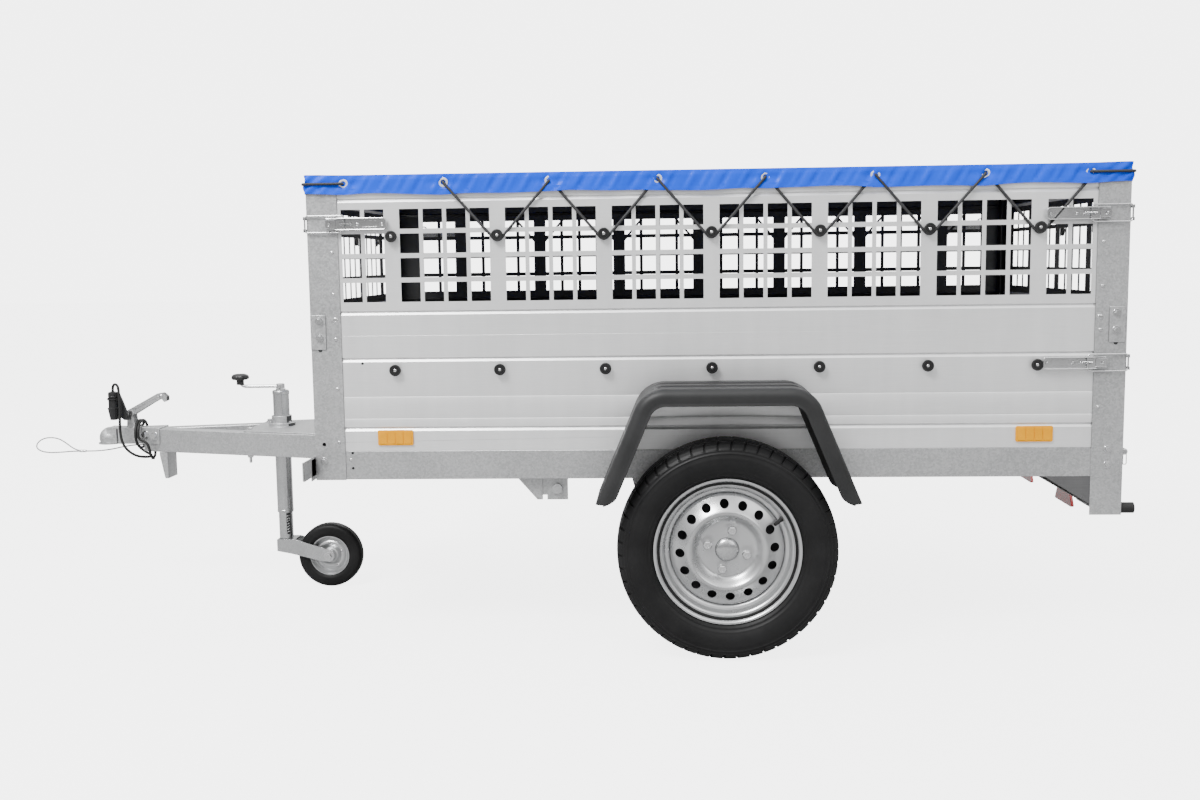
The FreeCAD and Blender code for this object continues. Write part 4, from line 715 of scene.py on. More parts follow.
# the rope's knobs: about this far apart, the outer ones this far from the box's ends and sides
knobPitch, sideInset, endInset = 0.271, 0.216, 0.281
coverLow = boxOf("cover_skirt")[0]
coverHigh = boxOf("cover")[1]
coverTop = coverHigh[2] + 0.0012


def knobPlaces(length, inset):
    # the rope's knobs stand in even steps between the two outer ones
    gaps = max(1, round((length - 2 * inset) / knobPitch))
    return (length - 2 * inset) * (np.arange(gaps + 1) / gaps - 0.5)


boxLow, boxHigh = boxOf("side_rails")
boxMiddle = (boxLow[0] + boxHigh[0]) / 2
sideKnobs = boxMiddle + knobPlaces(boxHigh[0] - boxLow[0], sideInset)
endKnobs = knobPlaces(boxHigh[1] - boxLow[1], endInset)
sideEyelets = np.sort(np.concatenate([
    [boxLow[0] + coverRecipe["cornerEyelet"], boxHigh[0] - coverRecipe["cornerEyelet"]],
    sideKnobs[1:-1:2] - coverRecipe["eyeletHalfStep"],
    sideKnobs[1:-1:2] + coverRecipe["eyeletHalfStep"]]))
endEyelets = np.array(coverRecipe["endEyelets"])
# where the runs behind the skirt come out below it, either side of their knob
exitHalfStep = 0.118
ropeExits = np.concatenate([[x - exitHalfStep, x + exitHalfStep]
                            for x in [*sideKnobs[2:-1:2], sideKnobs[-1]]])


def wave(x, *terms):
    # a sum of sines, each given as (waves per metre, shift, height)
    return sum(height * np.sin(2 * math.pi * number * x + shift) for number, shift, height in terms)


def coverSurface(recipe, drop, out):
    # Points of the sheet. Round the box goes "around", in metres; "drop" runs from the middle
    # line (negative) over the folded edge at 0 and down the skirt. The skirt bulges between
    # eyelets, puckers beside each of them and its lower edge rises and falls in long waves.
    low, high = coverLow, coverHigh
    half = (high[:2] - low[:2]) / 2
    middle = (high[:2] + low[:2]) / 2
    r = recipe["corner"]
    straight = 2 * (half - r)
    counts = [360, 14, 190, 14, 360, 14, 190, 14]
    sides = []
    corners = [(half[0], -half[1], 0), (half[0], half[1], 90), (-half[0], half[1], 180),
               (-half[0], -half[1], 270)]
    for n, (x, y, turn) in enumerate(corners):
        a = np.radians(turn)
        direction = np.array([math.cos(a), math.sin(a)])
        inner = np.array([x, y]) - r * np.sign([x, y])
        outward = np.array([math.sin(a), -math.cos(a)])
        length = straight[0] if n % 2 == 0 else straight[1]
        t = np.linspace(0, 1, counts[2 * n], endpoint=False)[:, None]
        end = inner + r * outward
        sides.append(np.hstack([end - direction * length * (1 - t), np.repeat(outward[None], len(t), 0)]))
        bend = np.linspace(0, math.pi / 2, counts[2 * n + 1], endpoint=False)[:, None]
        facing = np.cos(bend) * outward + np.sin(bend) * direction
        sides.append(np.hstack([inner + r * facing, facing]))
    ring = np.vstack(sides)
    edge, facing = ring[:, :2], ring[:, 2:]
    x = edge[:, 0] + middle[0]
    y = edge[:, 1]
    onSide = np.abs(facing[:, 1]) > 0.9
    along = np.where(onSide, x, y + 3.0)
    eyelets = np.where(onSide[:, None], sideEyelets[None] - x[:, None],
                       np.pad(endEyelets, (0, len(sideEyelets) - len(endEyelets)),
                              constant_values=9.0)[None] - y[:, None])
    near = np.exp(-(eyelets / recipe["eyeletReach"]) ** 2).sum(1)
    cornerNear = (np.exp(-((np.abs(x - middle[0]) - half[0]) / recipe["cornerReach"]) ** 2)
                  * np.exp(-((np.abs(y) - half[1]) / recipe["cornerReach"]) ** 2))
    d = np.asarray(drop)[:, None]
    down = np.clip(d, 0, None)
    share = down / recipe["skirt"]
    fold = recipe["fold"]
    rounding = np.clip((d + fold) / (2 * fold), 0, 1)
    inward = np.clip(-d, 0, None)
    crease = (wave(along + 0.5 * down, (31, 0.4, 0.0014), (53, 2.1, 0.0009), (17, 1.2, 0.0013))
              * np.sin(np.clip(share, 0, 1) * math.pi) ** 0.7)
    pucker = -recipe["pucker"] * near * np.exp(
        -((down - recipe["eyeletDrop"]) / recipe["puckerHigh"]) ** 2)
    bulge = (0.003 + wave(along, (3.1, 0.3, 0.0014), (7.3, 2.0, 0.001))) * share * (1 - 0.6 * near)
    fan = 0.0026 * cornerNear * np.sin(share * 9 + along * 160)
    lift = np.exp(-((x[:, None] - ropeExits[None]) / recipe["exitReach"]) ** 2).sum(1) * onSide
    bulge = bulge + recipe["exitBulge"] * lift * share ** 0.7
    edgeTurn = -0.0016 * (1 - np.clip(share * 4, 0, 1))
    push = (crease * (1 - cornerNear) + pucker + bulge + fan + edgeTurn) * (d > 0) + out
    hemWave = (wave(along, (1.7, 0.9, 0.002), (4.3, 1.1, 0.0012)) - 0.0018 * near) * share ** 2
    toMiddle = np.stack([np.clip(x - middle[0], -(half[0] - half[1]), half[0] - half[1]) + middle[0]
                         - x, -y], -1)
    reach = np.linalg.norm(toMiddle, axis=1)
    step = np.minimum(inward / reach[None], 1.0)
    ripple = wave(along * 0.6 + inward * 1.5, (5.2, 0.2, 0.001), (2.3, 1.3, 0.0014))
    arch = -recipe["sag"] * np.sin(step * math.pi / 2) ** 1.5
    rise = 0.002 * cornerNear
    height = np.where(d > 0, coverTop - down + hemWave,
                      coverTop + arch + ripple * step * (step < 0.98)) + rise
    height = height - fold * 0.1 * rounding * (1 - share)
    planX = (x + facing[:, 0] * push) + toMiddle[:, 0] * step
    planY = (y + facing[:, 1] * push) + toMiddle[:, 1] * step
    return np.stack([planX, planY, height], -1), facing


def makeCover(recipe):
    # the first rings close the corners, which lie further from the middle line than the sides
    inner = -np.array([0.82, 0.74, 0.66, 0.58, 0.5, 0.44, 0.38, 0.32, 0.26, 0.21, 0.17, 0.13, 0.1, 0.075,
                       0.055, 0.04, 0.028, 0.018, 0.01, 0.005, 0.002])
    drop = np.concatenate([inner, np.linspace(0.0005, recipe["skirt"], 22)])
    points, facing = coverSurface(recipe, drop, -0.0018)
    turnedIn = points[-1].copy()
    turnedIn[:, :2] -= facing * recipe["hem"] * 1.5
    turnedIn[:, 2] += 0.001
    folded = turnedIn.copy()
    folded[:, 2] += 0.012
    rows = np.concatenate([points, turnedIn[None], folded[None]])
    return makePiece("boxCover", grid(rows, closeColumns=True), "coverFabric", "chassis",
                     ("cover", "cover_skirt"), sharp=70)


def eyeletPlaces(recipe):
    # each eyelet's middle and the direction it faces
    z = coverTop - recipe["eyeletDrop"]
    places = []
    for side in (-1, 1):
        yFace = coverLow[1] if side < 0 else coverHigh[1]
        places += [((x, yFace + side * -0.0045, z), (0.0, side, 0.0)) for x in sideEyelets]
    for side in (-1, 1):
        xFace = coverLow[0] if side < 0 else coverHigh[0]
        places += [((xFace + side * -0.0045, y, z), (side, 0.0, 0.0)) for y in endEyelets]
    return places


def makeEyelets(recipe):
    # a flat rolled ring, highest in the middle of its width
    outer, hole = recipe["eyeletOuter"], recipe["eyeletHole"]
    mid = (outer + hole) / 2
    profile = [(outer, -0.004), (outer, 0.0002), (outer - 0.0006, 0.0012), (mid, 0.002),
               (hole + 0.0006, 0.0014), (hole, 0.0004), (hole, -0.004), (outer, -0.004)]
    shapes = [turned(profile, place, outward, 40) for place, outward in eyeletPlaces(recipe)]
    return makePiece("coverEyelets", together(shapes), "eyeletMetal", "chassis")


cover = makeCover(coverRecipe)
eyelets = makeEyelets(coverRecipe)
print("cover and eyelets")


# Rope that laces the cover down: taut from eyelets to knobs, and level at the corners

ropeRecipe = {"radius": 0.0036, "knobNeck": 0.009, "neckMiddle": 0.005, "skirtClear": 0.0018,
              "cornerClear": 0.0028, "sides": 12}
knobLow, knobHigh = boxOf("rope_knobs")
boardFace = -knobLow[1] - 0.016
upperKnobZ = knobHigh[2] - 0.015
lowerKnobZ = knobLow[2] + 0.015
eyeletZ = coverTop - coverRecipe["eyeletDrop"]
skirtOut = -coverLow[1]


def knobLoop(x, inFront, recipe, faceOut, coverOut):
    # Path in (along, out, up): from behind or before the skirt down to the knob's neck, round
    # below it and up again. The two runs are tangents of the circle round the neck.
    around = recipe["knobNeck"] + recipe["radius"]
    top = eyeletZ if inFront else coverLow[2] + 0.012
    half = coverRecipe["eyeletHalfStep"] * (top - upperKnobZ) / (eyeletZ - upperKnobZ)
    rise = top - upperKnobZ
    far = math.hypot(half, rise)
    opening = math.atan2(rise, half) - math.acos(around / far)
    bend = np.linspace(math.pi - opening, 2 * math.pi + opening, 25)
    arc = np.stack([around * np.cos(bend), np.zeros(25), around * np.sin(bend)], -1)
    neckOut = faceOut + recipe["neckMiddle"]
    topOut = coverOut + recipe["skirtClear"] if inFront else faceOut + recipe["radius"] - 0.0003
    lean = (topOut - neckOut) / rise
    runs = np.vstack([[(-half, 0, rise)], arc, [(half, 0, rise)]])
    runs[:, 1] = neckOut + lean * np.maximum(runs[:, 2], 0)
    runs += (x, 0, upperKnobZ)
    if not inFront:
        return runs
    # in front the ends turn through their eyelets to behind the skirt
    inward = np.array([(0.0, -0.004, 0.0008), (0.0, -0.012, 0.001)])
    first = runs[0] + inward[::-1]
    last = runs[-1] + inward
    return np.vstack([first, runs, last])


def ropePaths(recipe):
    # one list of paths for the left side, one for the ends, in the frame
    def onLeft(path):
        return np.stack([path[:, 0], -path[:, 1], path[:, 2]], -1)

    def onEnd(path, side, middle):
        return np.stack([middle + side * path[:, 1], path[:, 0], path[:, 2]], -1)

    left = []
    for n, x in enumerate(sideKnobs[1:-1]):
        left.append(onLeft(knobLoop(x, n % 2 == 0, recipe, boardFace, skirtOut)))
    last = sideKnobs[-1]
    left.append(onLeft(knobLoop(last, False, recipe, boardFace, skirtOut)))
    ends = []
    for side, edge, face in ((-1, coverLow[0], boxLow[0]), (1, coverHigh[0], boxHigh[0])):
        out = abs(edge - boxMiddle)
        ends.append(onEnd(knobLoop(0.0, True, recipe, abs(face - boxMiddle), out), side, boxMiddle))
    for side, edge in ((-1, coverLow[0]), (1, coverHigh[0])):
        eyeletX = sideEyelets[0] if side < 0 else sideEyelets[-1]
        sideRun = [(eyeletX, -skirtOut + 0.01, eyeletZ + 0.001),
                   (eyeletX + side * 0.0008, -skirtOut + 0.001, eyeletZ),
                   (eyeletX + side * 0.006, -skirtOut - recipe["cornerClear"], eyeletZ)]
        out = edge + side * recipe["cornerClear"]
        bend = np.radians(np.linspace(0, 90, 9))[:, None]
        r = coverRecipe["corner"] + recipe["cornerClear"]
        hub = np.array([out - side * r, -skirtOut - recipe["cornerClear"] + r])
        corner = hub + r * (np.cos(bend) * (0, -1) + np.sin(bend) * (side, 0))
        corner = np.hstack([corner, np.full((9, 1), eyeletZ)])
        endRun = [(out, -endEyelets[-1] - 0.006, eyeletZ),
                  (edge + side * -0.001, -endEyelets[-1] - 0.0008, eyeletZ),
                  (edge + side * -0.01, -endEyelets[-1], eyeletZ + 0.001)]
        left.append(np.vstack([sideRun, corner, endRun]))
    return left, ends


def strandMap(path, sides):
    # UV of a tube's quads: metres along the path, and once round it from 0 to 1
    steps = np.linalg.norm(np.diff(path, axis=0), axis=1)
    along = np.concatenate([[0, 0], np.cumsum(steps), [steps.sum()]])
    around = np.arange(sides + 1) / sides
    low, high = np.meshgrid(along[:-1], around[:-1], indexing="ij")
    nextLow, nextHigh = np.meshgrid(along[1:], around[1:], indexing="ij")
    return np.stack([np.stack([low, high], -1), np.stack([low, nextHigh], -1),
                     np.stack([nextLow, nextHigh], -1), np.stack([nextLow, high], -1)],
                    2).reshape(-1, 4, 2)


def makeRope(recipe):
    left, ends = ropePaths(recipe)
    tubes = [tube(path, recipe["radius"], recipe["sides"], across=(0.3, 1.0, 0.2)) for path in left]
    maps = [strandMap(path, recipe["sides"]) for path in left]
    endTubes = [tube(path, recipe["radius"], recipe["sides"], across=(1.0, 0.3, 0.2)) for path in ends]
    endMaps = [strandMap(path, recipe["sides"]) for path in ends]
    shape = together([*tubes, *[mirrored(shape) for shape in tubes], *endTubes])
    uv = np.concatenate([*maps, *[quads[:, ::-1] for quads in maps], *endMaps])
    makePiece("coverRope", shape, "ropeSleeve", "chassis", ("cover_rope",), uv=uv)


makeRope(ropeRecipe)


# Knobs: a neck on the board, a rounded head with a ring groove and a bright screw

knobRecipe = {"head": 0.015, "neck": 0.009, "neckLong": 0.01, "thick": 0.0062, "screw": 0.004}


def knobSpots():
    # every knob's place on the board and the way it faces
    spots = []
    for side in (-1, 1):
        for z in (upperKnobZ, lowerKnobZ):
            spots += [((x, side * boardFace, z), (0.0, side, 0.0)) for x in sideKnobs]
    for side, face in ((-1, boxLow[0]), (1, boxHigh[0])):
        spots += [((face, y, upperKnobZ), (side, 0.0, 0.0)) for y in endKnobs]
    return spots


def makeKnobs(recipe):
    r, neck, long, thick = (recipe[key] for key in ("head", "neck", "neckLong", "thick"))
    top = long + thick
    profile = [(0, 0), (neck + 0.001, 0), (neck, 0.0012), (neck - 0.0006, long * 0.5),
               (neck + 0.001, long - 0.0008), (r - 0.002, long), (r, long + 0.0014),
               (r, top - 0.0022), (r - 0.0008, top - 0.0007), (r - 0.0026, top),
               (r - 0.004, top - 0.0002), (r - 0.0046, top - 0.0018), (r - 0.0062, top - 0.0018),
               (r - 0.0068, top - 0.0004), (0.0066, top - 0.0002), (0.0062, top - 0.0022),
               (0, top - 0.0022)]
    spots = knobSpots()
    heads = [turned(profile, place, outward, 40) for place, outward in spots]
    screw = recipe["screw"]
    screwTop = top - 0.0004
    screwProfile = [(0, top - 0.003), (screw, top - 0.003), (screw, top - 0.0016),
                    (screw * 0.8, screwTop - 0.0004), (screw * 0.4, screwTop), (0.0012, screwTop),
                    (0.001, screwTop - 0.001), (0, screwTop - 0.001)]
    screws = [turned(screwProfile, place, outward, 20) for place, outward in spots]
    makePiece("ropeKnobs", together(heads), "knobPlastic", "chassis", ("rope_knobs",))
    makePiece("knobScrews", together(screws), "latchZinc", "chassis")


makeKnobs(knobRecipe)
print("rope and knobs")


# Wheels: pressed rim with round vents, tyre with grooves, hub with its cap, bolts and valve

wheelMiddle = {side: sum(boxOf("tyre_" + side)) / 2 for side in ("left", "right")}
wheelOutward = {"left": (0.0, -1.0, 0.0), "right": (0.0, 1.0, 0.0)}

rimRecipe = {
    # (radius, height outward from the wheel's middle), millimetres
    "barrel": [(182, 55), (183, 58.5), (182.2, 60.8), (180, 61.4), (177.5, 60.6), (174.8, 57.5),
               (172, 53), (168, 49.6), (163, 47.6), (159.2, 45.2), (157.4, 41), (156, 34),
               (153.6, 30), (150, 28.6), (146.5, 27.6), (144, 25), (142.2, 20), (141, 8), (141, -12),
               (143, -26), (150, -33), (158, -38), (163, -44), (168, -51), (174, -57), (180, -61.4),
               (182.6, -60.4), (182.6, -57), (176, -55), (166, -52), (164, -40), (147, -24),
               (145.5, 0), (147, 22), (161, 40), (165, 52), (174, 54)],
    "disc": [(142.5, 19), (141.5, 22.5), (139, 26.5), (134, 29.5), (126, 33), (117, 38), (108, 44),
             (102, 48.4), (98.5, 50.8), (95.5, 51.8), (92.5, 51.4), (89, 49.2), (85, 45.4), (80, 40),
             (75, 34.6), (71, 31.6), (67.5, 30.2), (64, 30), (59, 30), (54, 30), (49, 30), (44, 30),
             (39, 30), (34, 30), (30, 30), (29.2, 28.8), (29, 27), (29, 25.6), (32, 25.4), (66, 25.4),
             (70, 26.6), (76, 31), (84, 39.8), (89, 44.6), (93, 46.9), (97, 45.8), (102, 42.6),
             (110, 36.4), (119, 29.8), (128, 26.2), (134, 24.4), (138, 21)],
    "ventRing": 117, "vent": 11.5, "vents": 16, "firstVent": 93.5,
    "boltRing": 50, "boltTurn": 75.6, "boss": 4.0, "bossWide": 11,
}


def boltAngles(recipe):
    return np.radians(recipe["boltTurn"] + 90 * np.arange(4))


def aroundWheel(side, radius, angle, height):
    # a place on the wheel: angle seen from the left side, height outward
    middle = wheelMiddle[side]
    out = wheelOutward[side][1]
    return np.array([middle[0] + radius * math.cos(angle), middle[1] + out * height,
                     middle[2] + radius * math.sin(angle)])


def cutHoles(piece, shape):
    # the shape is taken out of the piece with a Boolean, whose result becomes the piece's mesh
    cutter = showObject("cutter", cleanMesh("cutter", shape))
    cut = piece.modifiers.new("holes", "BOOLEAN")
    cut.operation = "DIFFERENCE"
    cut.solver = "EXACT"
    cut.object = cutter
    bpy.context.view_layer.update()
    ready = piece.evaluated_get(bpy.context.evaluated_depsgraph_get())
    result = bpy.data.meshes.new_from_object(ready)
    piece.modifiers.clear()
    piece.data = result
    bpy.data.objects.remove(cutter)
    shadeSmooth(result, 32)


def makeRim(side, recipe):
    centre, outward = wheelMiddle[side], wheelOutward[side]
    barrel = np.array(recipe["barrel"]) / 1000
    barrel = np.vstack([barrel, barrel[:1]])
    rim = makePiece("rimBarrel_" + side, turned(barrel, centre, outward, 144),
                    "wheelSilver", "wheel_" + side, ("rim_" + side,))
    # painted shade with some road dust: the side of the barrel that faces the axle gets a dark, dull
    # finish
    rim.data.materials.append(finishes["rimShade"])
    middles = np.empty(len(rim.data.polygons) * 3)
    rim.data.polygons.foreach_get("center", middles)
    middles = middles.reshape(-1, 3) - centre
    inner = (np.hypot(middles[:, 0], middles[:, 2]) < 0.158) & (middles[:, 1] * outward[1] < 0.02)
    rim.data.polygons.foreach_set("material_index", inner.astype(int))
    disc = np.array(recipe["disc"]) / 1000
    disc = np.vstack([disc, disc[:1]])
    points, faces = turned(disc, centre, outward, 144)
    # a cone is pressed up round each bolt
    for angle in boltAngles(recipe):
        spot = aroundWheel(side, recipe["boltRing"] / 1000, angle, 0)
        away = np.hypot(points[:, 0] - spot[0], points[:, 2] - spot[2]) * 1000
        flat = np.hypot(points[:, 0] - centre[0], points[:, 2] - centre[2]) < 0.0675
        lift = recipe["boss"] * np.exp(-away ** 2 / (2 * recipe["bossWide"] ** 2)) * flat / 1000
        points[:, 1] += outward[1] * lift
    face = makePiece("rimDisc_" + side, (points, faces), "wheelSilver", "wheel_" + side)
    holes = []
    for n in range(recipe["vents"]):
        angle = math.radians(recipe["firstVent"] + n * 360 / recipe["vents"])
        start = aroundWheel(side, recipe["ventRing"] / 1000, angle, 0.0)
        r = recipe["vent"] / 1000
        holes.append(turned([(0, 0), (r, 0), (r, 0.08), (0, 0.08)], start, outward, 28))
    cutHoles(face, together(holes))


hubRecipe = {
    "hub": [(17.7, -68.5), (36, -68.5), (36, 12), (40, 13), (62, 13), (64, 15), (64, 25.0),
            (28.4, 25.0), (28.2, 30), (28.8, 31), (28.8, 33.5), (28.0, 35.6), (25.6, 38.2),
            (21.5, 40.6), (16, 42.4), (9, 43.4), (0, 43.8), (0, 31), (17.7, 31)],
    "bolt": {"across": 0.019, "high": 0.0115, "base": 0.0118, "seat": 0.0325},
    # (radius, height outward) of the valve's foot and tip
    "valve": {"turn": 29.5, "foot": (0.1555, 0.029), "tip": (0.133, 0.0475)},
    # painted shade: a dark plate behind the disc's vents stands for the shade behind the wheel, its neck
    # on the arm
    "shadePlate": [(18.5, -92), (44, -92), (44, -12), (138, -12), (139.6, -9), (138, -9.6),
               (41.5, -9.6), (41.5, -89.5), (18.5, -89.5), (18.5, -92)],
}


def makeHub(side, recipe):
    centre, outward = wheelMiddle[side], wheelOutward[side]
    # painted shade: the dark plate behind the vents
    shadePlate = turned(np.array(recipe["shadePlate"]) / 1000, centre, outward, 72)
    makePiece("ventShadePlate_" + side, shadePlate, "rimShade", "chassis")
    makePiece("wheelHub_" + side, turned(np.array(recipe["hub"]) / 1000, centre, outward, 72),
              "bareSteel", "wheel_" + side, ("hub_" + side,))
    bolts = []
    size = recipe["bolt"]
    r = size["across"] / math.sqrt(3)
    for angle in boltAngles(rimRecipe):
        place = aroundWheel(side, rimRecipe["boltRing"] / 1000, angle, size["seat"])
        cone = [(0, -0.004), (size["base"], -0.002), (size["base"], 0.0012), (r * 0.93, 0.003),
                (0, 0.003)]
        head = [(0, 0.002), (r * 0.92, 0.002), (r, 0.003), (r, size["high"] - 0.0012),
                (r * 0.84, size["high"]), (r * 0.45, size["high"]), (r * 0.35, size["high"] - 0.0012),
                (0, size["high"] - 0.0012)]
        bolts += [turned(cone, place, outward, 32), turned(head, place, outward, 6)]
    makePiece("wheelBolts_" + side, together(bolts), "latchZinc", "wheel_" + side, sharp=25)
    valve = recipe["valve"]
    angle = math.radians(valve["turn"])
    foot, tip = (aroundWheel(side, radius, angle, height)
                 for radius, height in (valve["foot"], valve["tip"]))
    along = tip - foot
    long = np.linalg.norm(along)
    stem = [(0, -0.003), (0.0082, -0.003), (0.0082, 0.001), (0.0062, 0.003), (0.0054, 0.006),
            (0.0046, long * 0.55), (0.0041, long * 0.62), (0.0047, long * 0.63),
            (0.0047, long * 0.97), (0.004, long), (0, long)]
    makePiece("tyreValve_" + side, turned(stem, foot, along, 24), "blackRubber",
              "wheel_" + side)


tyreRecipe = {
    # half section (radius, distance from the wheel's middle) from bead to crown, millimetres
    "section": [(166, 52), (168, 54.6), (176, 55.8), (182.8, 57.4), (185.2, 60.6), (189, 64.6),
                (196, 69.6), (206, 74.4), (218, 77.8), (230, 78.4), (242, 76.6), (252, 73.2),
                (259, 69.4), (264.2, 64.4), (267.6, 60.6), (269.6, 56.6)],
    "crown": 273.5, "crownEdge": 54.0, "crownFall": 2.6,
    "grooves": [12.5, 33.5], "grooveHalf": 2.6, "grooveEdge": 0.7, "grooveDeep": 6.5,
    "lugs": 50, "lugGroove": 0.17, "lugEdge": 0.028, "lugDeep": 4.6, "lugFrom": 38.0,
    # raised rings on the sidewall: (radius, height)
    "rings": [(191.5, 1.6), (200.0, 0.9), (234.0, 1.0), (246.5, 1.6), (253.5, 1.1)], "ringWide": 1.1,
    # further rows across the tread, and further columns in each lug's share of a turn
    "rows": [6.0, 23.0, 44.0, 50.0], "columns": [0.38, 0.6, 0.82],
    "lugLean": 0.1, "shoulderFrom": 256.0, "shoulderOver": 5.0,
}


def makeTyre(side, recipe):
    # The section runs from bead to bead; the tread is lowered along its grooves and, beyond
    # the outer ones, across them at every lug. Fine rings stand up on the sidewall.
    wall = throughPoints(np.array(recipe["section"], float), 5)
    for ring, high in recipe["rings"]:
        bump = high * np.exp(-((wall[:, 0] - ring) / recipe["ringWide"]) ** 2)
        wall[:, 1] += bump * (wall[:, 0] > 188)
    half, edge, deep = (recipe[key] for key in ("grooveHalf", "grooveEdge", "grooveDeep"))
    marks = [0.0]
    for g in recipe["grooves"]:
        marks += [g - half - edge, g - half, g + half, g + half + edge]
    marks += [*recipe["rows"], recipe["crownEdge"]]
    across = np.array(sorted(marks))
    radius = recipe["crown"] - recipe["crownFall"] * (across / recipe["crownEdge"]) ** 2
    drop = np.zeros_like(across)
    for g in recipe["grooves"]:
        drop = np.maximum(drop, deep * (np.abs(across - g) < half + 0.1))
    tread = np.stack([radius - drop, across], -1)
    halfSection = np.vstack([wall, tread[::-1]])
    grooved = np.concatenate([np.zeros(len(wall), bool), (drop > 0)[::-1]])
    section = np.vstack([halfSection, (halfSection * (1, -1))[-2::-1]])
    grooved = np.concatenate([grooved, grooved[-2::-1]])
    g, e = recipe["lugGroove"], recipe["lugEdge"]
    inLug = np.array([0, e, g - e, g, *recipe["columns"]])
    angle = ((np.arange(recipe["lugs"])[:, None] + inLug) / recipe["lugs"]).ravel() * 2 * math.pi
    low = np.tile(np.array([0, 1, 1, 0, 0, 0, 0.0]), recipe["lugs"])
    r, a = section[:, 0], section[:, 1]
    shoulder = (np.clip((np.abs(a) - recipe["lugFrom"]) / 1.5, 0, 1)
                * np.clip((r - recipe["shoulderFrom"]) / recipe["shoulderOver"], 0, 1) * (~grooved))
    skew = recipe["lugLean"] * (np.abs(a) - recipe["lugFrom"]) / 20 * (np.abs(a) > recipe["lugFrom"])
    lugDrop = recipe["lugDeep"] * shoulder[:, None] * low[None]
    radii = r[:, None] - lugDrop * np.clip((r[:, None] - 250) / 20, 0, 1)
    places = a[:, None] * (1 - 0.02 * (lugDrop > 0) * (r[:, None] < 269))
    turn = angle[None] + np.sign(a)[:, None] * (skew * 2 * math.pi / recipe["lugs"])[:, None]
    middle, out = wheelMiddle[side], wheelOutward[side][1]
    points = np.stack([middle[0] + radii * np.cos(turn) / 1000, middle[1] + out * places / 1000,
                       middle[2] + radii * np.sin(turn) / 1000], -1)
    liner = recipe["section"][0][0] / 1000
    back = np.stack([middle[0] + liner * np.cos(angle), np.full(len(angle), middle[1]),
                     middle[2] + liner * np.sin(angle)], -1)
    rows = np.concatenate([points, back[None]])
    makePiece("tyreTread_" + side, grid(rows, closeRows=True, closeColumns=True),
              "tyreRubber", "wheel_" + side, ("tyre_" + side,), sharp=38)


for sideName in ("left", "right"):
    makeRim(sideName, rimRecipe)
    makeHub(sideName, hubRecipe)
    makeTyre(sideName, tyreRecipe)
print("wheels")


# Mudguards: one moulded sheet along the arch, with skirts and two ribs on its roof

guardRecipe = {"wall": 0.0034, "skirt": 0.045, "corner": 0.021, "lip": 0.0014, "rib": 0.0035,
               "ribHalf": 0.01, "ribs": (0.07, 0.145), "topHalf": 0.206, "kneeRound": 0.085,
               "footRound": 0.024, "boxGap": 0.0018, "innerRound": 0.006, "bevel": 0.0008}


